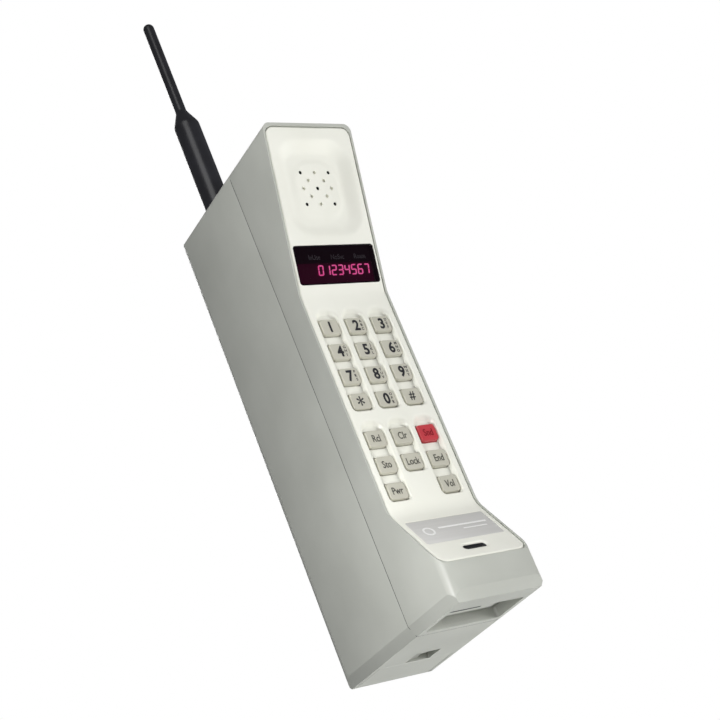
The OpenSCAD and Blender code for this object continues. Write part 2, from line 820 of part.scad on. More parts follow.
socket_r = sleeve_r + 1.6;
barrel_r = stud_r + 1.8;
socket_low = socket_top - stud_len - 1.6;
nut_t = 2.4;

module at_antenna(z) { translate([antenna_x, antenna_y, z]) children(); }

module antenna_socket() {
    color("#c2a04e") difference() {
        union() {
            at_antenna(spot_z) cylinder(h = socket_flange_t, r = socket_r);
            at_antenna(socket_low) cylinder(h = spot_z - socket_low + 0.1, r = barrel_r);
        }
        at_antenna(socket_low + 1) cylinder(h = stud_len + 5, r = stud_r + stud_gap);
    }
}

module antenna_nut() {
    color("#c9ccd0") at_antenna(roof_z - nut_t) difference() {
        cylinder(h = nut_t, r = barrel_r + 2.6, $fn = 6);
        translate([0, 0, -1]) cylinder(h = nut_t + 2, r = barrel_r + screw_gap);
    }
}

module antenna_seal() {
    color("#1e1e20") at_antenna(socket_top) difference() {
        cylinder(h = seal_t, r = sleeve_r);
        translate([0, 0, -1]) cylinder(h = seal_t + 2, r = stud_r + 0.3);
    }
}

module antenna_stud() {
    color("#c2a04e") at_antenna(sleeve_z - seal_t - stud_len) cylinder(h = seal_t + stud_len + 8, r = stud_r);
}

module antenna_sleeve() {
    rod_low = antenna_tip_z - rod_len;
    cone_low = rod_low - cone_len;
    color("#2c2c33") at_antenna(0) difference() {
        rotate_extrude() {
            polygon([[0, sleeve_z], [sleeve_r - 0.6, sleeve_z], [sleeve_r, sleeve_z + 0.6],
                [sleeve_r, cone_low], [rod_r, rod_low], [rod_r, antenna_tip_z - rod_r], [0, antenna_tip_z - rod_r]]);
            intersection() {
                translate([0, antenna_tip_z - rod_r]) circle(rod_r);
                translate([0, antenna_tip_z - rod_r]) square(rod_r + 1);
            }
        }
        translate([0, 0, sleeve_z - 1]) cylinder(h = 9, r = stud_r);
    }
}

// ---- Battery and latch ---------------------------------------------------------------------------

latch_w = 18;
latch_z = floor_t;
latch_t = 2;
neck_x = -2;
neck_w = 2;
neck_z = latch_z + latch_t + 0.8;
neck_h = 1.8;
head_h = 4.6;
keyhole_gap = 0.3;
latch_front = bay_front - notch_d - 1.2;

module latch_opening() {
    block(neck_x + latch_travel / 2, neck_w + latch_travel + 2 * keyhole_gap, bay_wall_y - 1, bay_front + 1,
        neck_z - neck_h / 2 - keyhole_gap, neck_z + neck_h / 2 + keyhole_gap);
}

module battery_latch() {
    color("#8f9189") {
        block(0, latch_w, latch_front, bay_wall_y - 0.2, latch_z, latch_z + latch_t);
        block(-3, 3, bay_front - notch_d + 1.6, bay_wall_y - 0.2, 0.6, latch_z + 0.1);
        block(neck_x, neck_w + 1, bay_wall_y - 2.2, bay_wall_y - 0.2, latch_z, neck_z + neck_h / 2);
        block(neck_x, neck_w, bay_wall_y - 0.4, pack_front + pack_wall + 0.5, neck_z - neck_h / 2, neck_z + neck_h / 2);
        block(neck_x, neck_w, pack_front + pack_wall + 0.3, pack_front + pack_wall + 1.2,
            neck_z - head_h / 2, neck_z + head_h / 2);
    }
}

module latch_keeper() {
    reach = latch_w / 2 + latch_travel + 0.5;
    color("#b9bcc0") {
        block(0, 2 * reach, latch_front, bay_wall_y - 2.6, latch_z + latch_t + latch_gap, latch_z + latch_t + latch_gap + 0.8);
        for (x = [-1, 1]) block(x * (reach - 0.2), 0.4, latch_front, bay_wall_y - 2.6, floor_t,
            latch_z + latch_t + latch_gap + 0.1);
    }
}

terminal_z = bay_h - 14;
terminal_w = 5;
terminal_x = 8;

module terminal_opening() {
    for (x = [-1, 1]) block(x * terminal_x, terminal_w + 0.1, bay_wall_y - 1, bay_front + 1,
        terminal_z - 3.05, terminal_z + 3.05);
}

module battery_terminals() {
    color("#c9a24a") for (x = [-1, 1]) {
        block(x * terminal_x, terminal_w, bay_wall_y, pack_front, terminal_z - 3, terminal_z + 3);
        block(x * terminal_x, terminal_w + 2, bay_wall_y - 1, bay_wall_y, terminal_z - 4, terminal_z + 4);
    }
}

// The outside of the whole battery pack, flush with the back of the phone.
module pack_solid() {
    intersection() {
        body_solid();
        block(0, pack_w, pack_front, back_y + 1, -1, pack_h);
    }
}

cover_y = back_y - pack_wall - 0.4;

module battery_case() {
    color("#aeb0a9") difference() {
        pack_solid();
        block(0, body_w, cover_y, back_y + 1, -1, body_h);
        block(0, pack_w - 2 * pack_wall, pack_front + pack_wall, back_y, pack_wall, pack_h - pack_wall);
        block(neck_x, neck_w + 2 * keyhole_gap, pack_front - 1, pack_front + pack_wall + 1,
            neck_z - head_h / 2 - keyhole_gap, neck_z + head_h / 2 + keyhole_gap);
        block(neck_x + latch_travel / 2, neck_w + latch_travel + 2 * keyhole_gap, pack_front - 1,
            pack_front + pack_wall + 1, neck_z - neck_h / 2 - keyhole_gap, neck_z + neck_h / 2 + keyhole_gap);
        for (x = [-1, 1]) block(x * terminal_x, 7.1, pack_front - 1, pack_front + 0.5, terminal_z - 4.05, terminal_z + 4.05);
    }
}

module battery_cover() {
    color("#b0b2ab") intersection() {
        pack_solid();
        block(0, body_w, cover_y, back_y + 1, -1, body_h);
    }
}

cell_x = cell_r + 0.3;
cell_y = pack_front + pack_wall + 2 + cell_r;
cell_rows = 3;

module battery_cells() {
    color("#3a6ea5") for (x = [-1, 1], i = [0:cell_rows - 1])
        translate([x * cell_x, cell_y, pack_wall + 0.6 + i * (cell_len + 0.4)]) cylinder(h = cell_len, r = cell_r);
}

// Nickel straps: one joins the two bottom cells, short ones join the cells end to end.
module battery_links() {
    color("#c7cacc") {
        block(0, 2 * cell_x + 6, cell_y - 3, cell_y + 3, pack_wall, pack_wall + 0.6);
        for (x = [-1, 1], i = [1:cell_rows - 1])
            block(x * cell_x, 6, cell_y - 3, cell_y + 3, pack_wall + 0.2 + i * (cell_len + 0.4),
                pack_wall + 0.6 + i * (cell_len + 0.4));
    }
}

module battery_contacts() {
    color("#c9a24a") for (x = [-1, 1])
        block(x * terminal_x, 7, pack_front, pack_front + 0.5, terminal_z - 4, terminal_z + 4);
}

// ---- Fasteners -----------------------------------------------------------------------------------

module housing_screws() {
    color("#b9bcc0") for (x = [-1, 1], z = [low_screw_z, high_screw_z]) {
        rod_y(x * screw_x, z, screw_r, part_y - screw_reach, screw_seat_y + 0.1);
        rod_y(x * screw_x, z, screw_head_r, screw_seat_y, screw_seat_y + 1.8);
    }
}

front_housing();
rear_housing();
face_plate();
display_lens();
nameplate();
number_key(0, 0);  // key_1
number_key(1, 0);  // key_2
number_key(2, 0);  // key_3
number_key(0, 1);  // key_4
number_key(1, 1);  // key_5
number_key(2, 1);  // key_6
number_key(0, 2);  // key_7
number_key(1, 2);  // key_8
number_key(2, 2);  // key_9
number_key(0, 3);  // key_star
number_key(1, 3);  // key_0
number_key(2, 3);  // key_hash
function_key(0, 0);  // key_recall
function_key(1, 0);  // key_clear
send_key(2, 0);  // key_send
function_key(0, 1);  // key_store
function_key(1, 1);  // key_lock
function_key(2, 1);  // key_end
function_key(0, 2);  // key_power
function_key(2, 2);  // key_volume
keypad_mat();
keypad_board();
board_screws();
speaker_gasket();
earpiece_speaker();
display_board();
led_display();
mic_boot();
microphone();
logic_board();
logic_chips();
flat_cable();
chassis();
radio_board();
radio_shield();
power_amplifier();
duplexer();
antenna_lead();
ringer();
accessory_connector();
connector_pins();
battery_terminals();
latch_keeper();
battery_latch();
housing_screws();
antenna_socket();
antenna_nut();
antenna_seal();
antenna_stud();
antenna_sleeve();
battery_case();
battery_cover();
battery_cells();
battery_links();
battery_contacts();
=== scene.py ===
"""Early mobile brick phone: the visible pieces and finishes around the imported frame.

All sizes in the dataclass fields are in millimetres. Positions come from the frame's boxes.
"""
from __future__ import annotations

import logging
import math
from dataclasses import dataclass, field
from enum import Enum
from typing import Any, Callable, Iterable

import bmesh
import bpy
from mathutils import Matrix, Vector


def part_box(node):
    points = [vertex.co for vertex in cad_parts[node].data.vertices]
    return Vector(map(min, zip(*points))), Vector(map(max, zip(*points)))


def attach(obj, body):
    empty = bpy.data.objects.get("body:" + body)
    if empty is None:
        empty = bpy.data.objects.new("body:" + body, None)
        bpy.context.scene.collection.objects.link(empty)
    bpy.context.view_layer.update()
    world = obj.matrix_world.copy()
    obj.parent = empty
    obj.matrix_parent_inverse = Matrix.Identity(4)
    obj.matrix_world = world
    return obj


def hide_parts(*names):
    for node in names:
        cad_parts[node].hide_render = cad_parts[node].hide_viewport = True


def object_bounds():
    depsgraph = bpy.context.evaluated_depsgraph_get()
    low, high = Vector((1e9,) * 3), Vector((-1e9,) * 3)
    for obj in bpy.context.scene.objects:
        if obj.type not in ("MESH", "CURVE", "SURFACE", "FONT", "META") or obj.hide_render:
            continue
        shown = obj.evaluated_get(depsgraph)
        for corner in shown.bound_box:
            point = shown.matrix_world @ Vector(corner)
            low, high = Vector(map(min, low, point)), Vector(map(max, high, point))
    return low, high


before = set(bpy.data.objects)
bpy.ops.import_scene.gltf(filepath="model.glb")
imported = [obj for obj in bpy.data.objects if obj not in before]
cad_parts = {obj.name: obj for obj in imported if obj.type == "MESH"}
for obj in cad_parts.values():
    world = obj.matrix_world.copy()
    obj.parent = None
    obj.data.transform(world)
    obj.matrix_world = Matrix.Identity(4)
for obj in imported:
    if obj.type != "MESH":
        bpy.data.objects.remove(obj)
CAD_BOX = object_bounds()

log = logging.getLogger("brick_phone")
MM = 0.001
TOUCH = 1e-7  # two values this close are the same place, in metres
CAPITAL = 0.73  # height of a capital in the built-in font, as a share of its size

Tree, Socket, Node = bpy.types.NodeTree, bpy.types.NodeSocket, bpy.types.Node
Shape, Vert = bmesh.types.BMesh, bmesh.types.BMVert
Triple = tuple[float, float, float]
Lamp = tuple[str, Triple, Triple, float, float]  # name, place, what it lights, size and power


# ---- Small tools ----

def srgb(code: str) -> tuple[float, float, float, float]:
    """Turns an sRGB hex colour into a linear one.

    Args:
        code: The colour as "#rrggbb".

    Returns:
        Linear red, green and blue, and an alpha of 1.
    """
    parts = [int(code[i:i + 2], 16) / 255 for i in (1, 3, 5)]
    red, green, blue = (c / 12.92 if c <= 0.04045 else ((c + 0.055) / 1.055) ** 2.4 for c in parts)
    return red, green, blue, 1.0


def smooth(t: float) -> float:
    """Rises smoothly from 0 to 1 as t goes from 0 to 1."""
    t = min(1.0, max(0.0, t))
    return t * t * (3 - 2 * t)


def outline_distance(x: float, z: float, width: float, height: float, radius: float) -> float:
    """Distance from a rounded rectangle's outline.

    Args:
        x: Place across, from the rectangle's centre.
        z: Place up, from the rectangle's centre.
        width: The rectangle's width.
        height: The rectangle's height.
        radius: Its corner radius.

    Returns:
        The distance, negative inside.
    """
    dx, dz = abs(x) - width / 2 + radius, abs(z) - height / 2 + radius
    return math.hypot(max(dx, 0), max(dz, 0)) + min(max(dx, dz), 0) - radius


def add(tree: Tree, kind: str, inputs: dict[Any, Any] | None = None,
        stops: list[tuple[float, str]] | None = None, **settings: Any) -> Node:
    """Adds a node with its settings and links.

    Args:
        tree: The node tree.
        kind: The node's type, after "ShaderNode".
        inputs: Socket name or number to a value, or to the output that feeds it.
        stops: Places and colours of a colour ramp.
        settings: Properties of the node.

    Returns:
        The new node.
    """
    made = tree.nodes.new("ShaderNode" + kind)
    for key, value in settings.items():
        setattr(made, key, value)
    for key, value in (inputs or {}).items():
        if isinstance(value, Socket):
            tree.links.new(value, made.inputs[key])
        else:
            made.inputs[key].default_value = value
    if stops:
        elements = made.color_ramp.elements
        while len(elements) < len(stops):
            elements.new(1.0)
        for element, (place, code) in zip(elements, stops):
            element.position, element.color = place, srgb(code)
    return made


# ---- Finishes ----

@dataclass(frozen=True)
class Finish:
    """A finish, made once and shared by every piece that has it."""

    name: str

    def material(self) -> bpy.types.Material:
        """Returns the finish as a material, and makes it the first time."""
        found = bpy.data.materials.get(self.name)
        if found:
            return found
        made = bpy.data.materials.new(self.name)
        made.use_nodes = True
        tree = made.node_tree
        tree.nodes.clear()
        place = add(tree, "TexCoord").outputs["Object"]
        shader = self.dress(tree, place)
        add(tree, "OutputMaterial", {"Surface": shader.outputs[0]})
        return made

    def dress(self, tree: Tree, place: Socket) -> Node:
        """Adds the finish's nodes.

        Args:
            tree: The material's node tree.
            place: The object coordinates.

        Returns:
            The shader node.
        """
        raise NotImplementedError


@dataclass(frozen=True)
class Grained(Finish):
    """A solid material with two tones in soft clouds and a fine relief on its skin.

    The sizes of the clouds and of the grain and the height of the relief are in millimetres.
    """

    colour: str
    cloud: str
    roughness: float = 0.42
    grain: float = 0.55
    relief: float = 0.012
    clouds: float = 31.25
    detail: float = 3.0
    spread: tuple[float, float] = (0.35, 0.65)
    uneven: float = 0.05
    strength: float = 0.5
    ior: float = 1.5
    metallic: float = 0.0

    def dress(self, tree: Tree, place: Socket) -> Node:
        """See Finish.dress."""
        clouds = add(tree, "TexNoise", {"Vector": place, "Scale": 1 / (self.clouds * MM),
            "Detail": self.detail})
        tint = add(tree, "ValToRGB", {"Fac": clouds.outputs["Fac"]},
            stops=list(zip(self.spread, (self.cloud, self.colour))))
        grain = add(tree, "TexNoise", {"Vector": place, "Scale": 1 / (self.grain * MM), "Detail": 2.0})
        bump = add(tree, "Bump", {"Height": grain.outputs["Fac"], "Strength": self.strength,
            "Distance": self.relief * MM})
        rough = add(tree, "MapRange", {"Value": clouds.outputs["Fac"],
            "To Min": self.roughness - self.uneven, "To Max": self.roughness + self.uneven})
        return add(tree, "BsdfPrincipled", {"Base Color": tint.outputs["Color"],
            "Roughness": rough.outputs[0], "Normal": bump.outputs[0], "IOR": self.ior,
            "Metallic": self.metallic})


@dataclass(frozen=True)
class MouldedPlastic(Grained):
    """Injection-moulded ABS with a fine spark-eroded grain: broad satin highlights, faint cloudiness."""

    ior: float = 1.53


@dataclass(frozen=True)
class CastMetal(Grained):
    """Die-cast aluminium: dull grey skin, pitted and cloudy from the mould."""

    roughness: float = 0.52
    grain: float = 0.7
    relief: float = 0.05
    clouds: float = 11.1
    detail: float = 6.0
    uneven: float = 0.0
    strength: float = 0.8
    metallic: float = 1.0


@dataclass(frozen=True)
class MouldedRubber(Grained):
    """Compression-moulded rubber: near black, with a soft bloom and a fine skin texture."""

    roughness: float = 0.5
    grain: float = 0.5
    relief: float = 0.02
    clouds: float = 8.33
    detail: float = 5.0
    spread: tuple[float, float] = (0.4, 0.75)
    uneven: float = 0.0
    ior: float = 1.52


@dataclass(frozen=True)
class PrintedInk(Finish):
    """Two-part pad-printing ink: nearly flat, a touch uneven in thickness."""

    colour: str
    thin: str

    def dress(self, tree: Tree, place: Socket) -> Node:
        """See Finish.dress."""
        spread = add(tree, "TexNoise", {"Vector": place, "Scale": 1 / (0.55 * MM), "Detail": 2.0})
        tint = add(tree, "ValToRGB", {"Fac": spread.outputs["Fac"]},
            stops=[(0.3, self.colour), (0.8, self.thin)])
        return add(tree, "BsdfPrincipled", {"Base Color": tint.outputs["Color"], "Roughness": 0.55,
            "IOR": 1.5})


@dataclass(frozen=True)
class TintedAcrylic(Finish):
    """Cast acrylic window, dyed dark and polished: mirror-like gloss over a deep wine tint."""

    colour: str
    cover: float

    def dress(self, tree: Tree, place: Socket) -> Node:
        """See Finish.dress."""
        smear = add(tree, "TexNoise", {"Vector": place, "Scale": 1 / (6.25 * MM), "Detail": 4.0})
        rough = add(tree, "MapRange", {"Value": smear.outputs["Fac"], "To Min": 0.1, "To Max": 0.12})
        return add(tree, "BsdfPrincipled", {"Base Color": srgb(self.colour), "Roughness": rough.outputs[0],
            "IOR": 1.49, "Alpha": self.cover, "Specular IOR Level": 0.2})


@dataclass(frozen=True)
class LitSegments(Finish):
    """Gallium-phosphide LED chips under a lens bar: glowing bars, each a row of brighter points."""

    colour: str
    edge: str
    strength: float

    def dress(self, tree: Tree, place: Socket) -> Node:
        """See Finish.dress."""
        points = add(tree, "TexVoronoi", {"Vector": place, "Scale": 1 / (0.5 * MM)})
        glow = add(tree, "ValToRGB", {"Fac": points.outputs["Distance"]},
            stops=[(0.1, self.colour), (0.7, self.edge)])
        return add(tree, "BsdfPrincipled", {"Base Color": srgb("#3a0a1c"), "Roughness": 0.4,
            "Emission Color": glow.outputs["Color"], "Emission Strength": self.strength})


@dataclass(frozen=True)
class FilterFilm(Finish):
    """Wine-red polyester film behind the window, with a painted glow: emission brightest near the digits,
    dark toward its ends.
    """

    dark: str
    lit: str
    strength: float
    centre: Triple
    reach: float

    def dress(self, tree: Tree, place: Socket) -> Node:
        """See Finish.dress."""
        span = 1 / (self.reach * MM)
        centred = add(tree, "Mapping", {"Vector": place, "Location": tuple(-c * span for c in self.centre),
            "Scale": (span, span * 1.6, span * 3.2)})
        ball = add(tree, "TexGradient", {"Vector": centred.outputs[0]}, gradient_type="SPHERICAL")
        glow = add(tree, "ValToRGB", {"Fac": ball.outputs["Fac"]},
            stops=[(0.0, self.dark), (0.6, self.lit)])
        # emission paints the digits' light on the film: painted glow
        return add(tree, "BsdfPrincipled", {"Base Color": srgb("#1c050e"), "Roughness": 0.5,
            "Emission Color": glow.outputs["Color"], "Emission Strength": self.strength})


@dataclass(frozen=True)
class BrushedMetal(Finish):
    """Sheet or turned metal with fine brush lines along one axis: streaked, stretched highlights.

    The lines' sizes along X, Y and Z are in millimetres, drawn coarser than real ones so that they show.
    """

    colour: str
    dull: str
    roughness: float = 0.3
    lines: Triple = (16.7, 0.45, 0.45)
    metallic: float = 1.0
    relief: float = 0.006

    def dress(self, tree: Tree, place: Socket) -> Node:
        """See Finish.dress."""
        stretched = add(tree, "Mapping", {"Vector": place,
            "Scale": tuple(1 / (size * MM) for size in self.lines)})
        streaks = add(tree, "TexNoise", {"Vector": stretched.outputs[0], "Scale": 1.0, "Detail": 3.0})
        tint = add(tree, "ValToRGB", {"Fac": streaks.outputs["Fac"]},
            stops=[(0.3, self.dull), (0.7, self.colour)])
        rough = add(tree, "MapRange", {"Value": streaks.outputs["Fac"], "To Min": self.roughness - 0.08,
            "To Max": self.roughness + 0.1})
        bump = add(tree, "Bump", {"Height": streaks.outputs["Fac"], "Strength": 0.6,
            "Distance": self.relief * MM})
        return add(tree, "BsdfPrincipled", {"Base Color": tint.outputs["Color"], "Metallic": self.metallic,
            "Roughness": rough.outputs[0], "Normal": bump.outputs[0]})


@dataclass(frozen=True)
class SolderMask(Finish):
    """Glass-epoxy circuit board under green lacquer: paler tracks 1.3 mm apart, tinned dots."""

    colour: str
    track: str

    def dress(self, tree: Tree, place: Socket) -> Node:
        """See Finish.dress."""
        turned = add(tree, "Mapping", {"Vector": place, "Rotation": (math.radians(90), 0, 0)})
        tracks = add(tree, "TexBrick", {"Vector": turned.outputs[0], "Color1": srgb(self.colour),
            "Color2": srgb(self.colour), "Mortar": srgb(self.track), "Scale": 1 / (2.6 * MM) / 2,
            "Mortar Size": 0.03}, offset=0.37)
        dots = add(tree, "TexVoronoi", {"Vector": place, "Scale": 1 / (3 * MM)})
        spots = add(tree, "Math", {0: dots.outputs["Distance"], 1: 0.16}, operation="LESS_THAN")
        mixed = add(tree, "Mix", {"Factor": spots.outputs[0], "A": tracks.outputs["Color"],
            "B": srgb("#b9bcb8")}, data_type="RGBA")
        return add(tree, "BsdfPrincipled", {"Base Color": mixed.outputs["Result"], "Roughness": 0.32,
            "IOR": 1.5, "Metallic": spots.outputs[0]})


@dataclass(frozen=True)
class WrappedCell(Finish):
    """Heat-shrunk PVC sleeve on a cell: glossy, with pale bands near the ends of each cell."""

    colour: str
    band: str
    pitch: float

    def dress(self, tree: Tree, place: Socket) -> Node:
        """See Finish.dress."""
        waves = add(tree, "TexWave", {"Vector": place, "Scale": 1 / (self.pitch * MM) / 3.18,
            "Distortion": 0.4}, wave_type="BANDS", bands_direction="Z")
        tint = add(tree, "ValToRGB", {"Fac": waves.outputs["Fac"]},
            stops=[(0.86, self.colour), (0.9, self.band)])
        return add(tree, "BsdfPrincipled", {"Base Color": tint.outputs["Color"], "Roughness": 0.22,
            "IOR": 1.53})


@dataclass(frozen=True)
class GlowingPaper(Finish):
    """Matt paper lit from behind: pale and even to the eye, with no gloss."""

    shade: str

    def dress(self, tree: Tree, place: Socket) -> Node:
        """See Finish.dress."""
        return add(tree, "BsdfPrincipled", { "Base Color": srgb(self.shade), "Roughness": 0.9, "IOR": 1.45,
            "Specular IOR Level": 0.0, "Emission Color": srgb(self.shade), "Emission Strength": 0.85})


@dataclass(frozen=True)
class OpenFoam(Finish):
    """Open-cell foam or felt: dark and matte, with cells or tufts half a millimetre across, their middles
    painted darker than their walls as shade.
    """

    colour: str
    lit_wall: str

    def dress(self, tree: Tree, place: Socket) -> Node:
        """See Finish.dress."""
        cells = add(tree, "TexVoronoi", {"Vector": place, "Scale": 1 / (0.5 * MM)})
        # cell middles dark, walls paler: painted shade in the open cells
        tint = add(tree, "ValToRGB", {"Fac": cells.outputs["Distance"]},
            stops=[(0.1, self.colour), (0.6, self.lit_wall)])
        bump = add(tree, "Bump", {"Height": cells.outputs["Distance"], "Strength": 1.0,
            "Distance": 0.2 * MM})
        return add(tree, "BsdfPrincipled", {"Base Color": tint.outputs["Color"], "Roughness": 0.95,
            "Normal": bump.outputs[0]})


SHELL = MouldedPlastic("grey_moulded_abs", "#c3c5bd", "#bcbeb6")
REAR = MouldedPlastic("grey_moulded_abs_rear", "#c1c3bb", "#babcb4")
FASCIA = MouldedPlastic("cream_moulded_abs", "#f6f6ec", "#f1f1e6", roughness=0.34, relief=0.006)
KEY = MouldedPlastic("beige_moulded_key", "#c9c7b9", "#c2c0b2", roughness=0.38, relief=0.008)
SEND = MouldedPlastic("red_moulded_key", "#c8474e", "#be3f47", roughness=0.36, relief=0.008)
LATCH = MouldedPlastic("grey_acetal_latch", "#a2a49c", "#9a9c94", roughness=0.3)
INK = PrintedInk("black_pad_ink", "#26262a", "#3a3a3e")
FINE_INK = PrintedInk("grey_pad_ink", "#45453f", "#5c5c55")
RED_INK = PrintedInk("dark_red_pad_ink", "#7c1420", "#8c1a28")
PALE_INK = PrintedInk("pale_screen_ink", "#f4f4f2", "#eaeae8")
LABEL_INK = PrintedInk("faint_window_ink", "#8a888e", "#78767c")
MASK_INK = PrintedInk("black_window_paint", "#0c0a0d", "#131014")
LENS = TintedAcrylic("wine_tinted_acrylic", "#150710", 0.42)
DIGIT = LitSegments("lit_led_bars", "#ff86c4", "#ff4f9c", 1.9)
BLACK_RUBBER = MouldedRubber("black_nitrile_rubber", "#26262a", "#1b1b1d")
MAT_RUBBER = MouldedRubber("grey_silicone_sheet", "#45474b", "#3b3d40", roughness=0.6)
ANTENNA_RUBBER = MouldedRubber("satin_antenna_rubber", "#2c2c31", "#242427", roughness=0.3,
                               grain=0.8, relief=0.03)
JACKET = MouldedRubber("cable_jacket", "#303035", "#26262a", roughness=0.4)
BOARD = SolderMask("green_circuit_board", "#1f5c38", "#3c8a58")
CHIP = MouldedPlastic("epoxy_chip_body", "#212226", "#1a1b1e", roughness=0.5, relief=0.02)
FOAM = OpenFoam("black_open_foam", "#1a1a1a", "#333333")
# black felt set just under the sound holes' mouths: a dust felt that also paints the holes' shade
SHADE_FELT = OpenFoam("black_felt_painted_shade", "#060607", "#0c0c0e")
STEEL = BrushedMetal("zinc_plated_steel", "#c6c9cc", "#a3a7ab", 0.32)
TINNED = BrushedMetal("tinned_steel_sheet", "#d3d5d6", "#b4b7b9", 0.28, (0.45, 0.45, 16.7))
ALUMINIUM = BrushedMetal("drawn_aluminium", "#c9ccd0", "#aeb2b7", 0.35)
CAST = CastMetal("die_cast_aluminium", "#a9adb0", "#8c9093")
CERAMIC = MouldedPlastic("fired_filter_ceramic", "#b98f58", "#a87e49", roughness=0.6, relief=0.03)
BRASS = BrushedMetal("turned_brass", "#cfae5e", "#b08f45", 0.25, (0.45, 0.45, 11.1))
GOLD = BrushedMetal("gold_flashed_contact", "#d9b65a", "#c19a3f", 0.22)
FOIL = BrushedMetal("satin_anodised_foil", "#d6d5d2", "#cfcecb", 0.5, (25.0, 1.1, 1.1), 0.0, 0.002)
WRAP = WrappedCell("pvc_cell_sleeve", "#2f66a0", "#d5dbe0", 47.4)
FLEX = MouldedPlastic("polyimide_flat_cable", "#c49a54", "#b3863f", roughness=0.3)
PAPER = GlowingPaper("pale_studio_paper", "#ececea")

SLOT_FINISH: dict[str, Finish] = {
    "shell": SHELL, "latch": LATCH, "face": FASCIA, "lens": LENS, "nameplate": FOIL, "key": KEY,
    "send_key": SEND, "black_rubber": BLACK_RUBBER, "antenna_rubber": ANTENNA_RUBBER,
    "circuit_board": BOARD, "chip": CHIP, "foam": FOAM, "led": CHIP, "cable": JACKET,
    "steel": STEEL, "tinned_steel": TINNED, "aluminium": ALUMINIUM, "cast_aluminium": CAST,
    "filter_ceramic": CERAMIC, "brass": BRASS, "contact": GOLD, "cell_wrap": WRAP,
}


# ---- Mesh tools ----

def as_object(mesh: bpy.types.Mesh, name: str) -> bpy.types.Object:
    """Puts a mesh in the scene as an object at the origin."""
    made = bpy.data.objects.new(name, mesh)
    bpy.context.scene.collection.objects.link(made)
    return made


def settle(bm: Shape, name: str, finishes: list[Finish], body: str,
           stands_for: tuple[str, ...] = (), sharp: float = 40.0,
           turn: bool = True) -> bpy.types.Object:
    """Turns a finished bmesh into a piece that rides on a body.

    Args:
        bm: The piece's shape, which is freed.
        name: The piece's name.
        finishes: Its finishes, in the order of its material numbers.
        body: The body it moves with.
        stands_for: The CAD nodes it replaces.
        sharp: Edges with a greater angle than this stay sharp, in degrees.
        turn: Whether its faces still have to be turned outward, which a CAD copy's are already.

    Returns:
        The piece.
    """
    if turn:
        bmesh.ops.recalc_face_normals(bm, faces=bm.faces)
    mesh = bpy.data.meshes.new(name)
    bm.to_mesh(mesh)
    bm.free()
    for finish in finishes:
        mesh.materials.append(finish.material())
    mesh.shade_smooth()
    mesh.set_sharp_from_angle(angle=math.radians(sharp))
    made = as_object(mesh, name)
    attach(made, body)
    if stands_for:
        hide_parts(*stands_for)
    log.info("%s: %d faces, rides on %s", name, len(mesh.polygons), body)
    return made


def copied(node: str) -> Shape:
    """Copies a CAD node's mesh, merges its loose triangles and clears spare edges from flat faces."""
    bm = bmesh.new()
    bm.from_mesh(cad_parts[node].data)
    bmesh.ops.remove_doubles(bm, verts=bm.verts, dist=0.002 * MM)
    bmesh.ops.dissolve_limit(bm, angle_limit=math.radians(0.4), verts=bm.verts, edges=bm.edges,
                             use_dissolve_boundaries=False)
    return bm


def soften(made: bpy.types.Object, width: float, weigh: Callable[[Vector], float] | None = None,
           angle: float = 20.0) -> None:
    """Rounds a piece's edges with a bevel that keeps its flat faces flat.

    Args:
        made: The piece.
        width: The widest rounding.
        weigh: Gives an edge's share of the width from its middle, or 0 for no rounding.
        angle: Edges that bend less than this stay as they are, in degrees.
    """
    soft = made.modifiers.new("soft_edges", "BEVEL")
    soft.width, soft.segments, soft.profile, soft.material = width * MM, 3, 0.5, -1
    soft.use_clamp_overlap = soft.harden_normals = True
    soft.angle_limit = math.radians(angle)
    soft.limit_method = "WEIGHT" if weigh else "ANGLE"
    if weigh is None:
        return
    bm = bmesh.new()
    bm.from_mesh(made.data)
    layers = bm.edges.layers.float
    layer = layers.get("bevel_weight_edge") or layers.new("bevel_weight_edge")
    for edge in bm.edges:
        if len(edge.link_faces) == 2 and edge.calc_face_angle(0.0) > math.radians(angle):
            edge[layer] = weigh((edge.verts[0].co + edge.verts[1].co) / 2 / MM)
    bm.to_mesh(made.data)
    bm.free()


def shift(x: float, y: float, z: float) -> Matrix:
    """A move, in millimetres."""
    return Matrix.Translation(Vector((x, y, z)) * MM)


def bevel(bm: Shape, edges: Iterable[Any], width: float, steps: int, affect: str = "EDGES") -> None:
    """Rounds edges, or the corners of a flat outline.

    Args:
        bm: The bmesh.
        edges: The edges, or the corners' vertices.
        width: How far the rounding reaches, in millimetres.
        steps: Steps across the rounding.
        affect: What is rounded, "EDGES" or "VERTICES".
    """
    bmesh.ops.bevel(bm, geom=list(edges), offset=width * MM, offset_type="OFFSET", affect=affect,
                    segments=steps, profile=0.5, material=-1)


def block(bm: Shape, low: Triple, high: Triple, stand: Matrix | None = None) -> list[Vert]:
    """Adds a plain block.

    Args:
        bm: The bmesh to add to.
        low: Its lowest corner, in millimetres.
        high: Its highest corner, in millimetres.
        stand: Where it stands, if not in the phone's own frame.

    Returns:
        The block's vertices.
    """
    size, middle = (Vector(high) - Vector(low)) * MM, (Vector(high) + Vector(low)) / 2
    place = (stand or Matrix()) @ shift(*middle) @ Matrix.Diagonal((*size, 1.0))
    return bmesh.ops.create_cube(bm, size=1.0, matrix=place)["verts"]


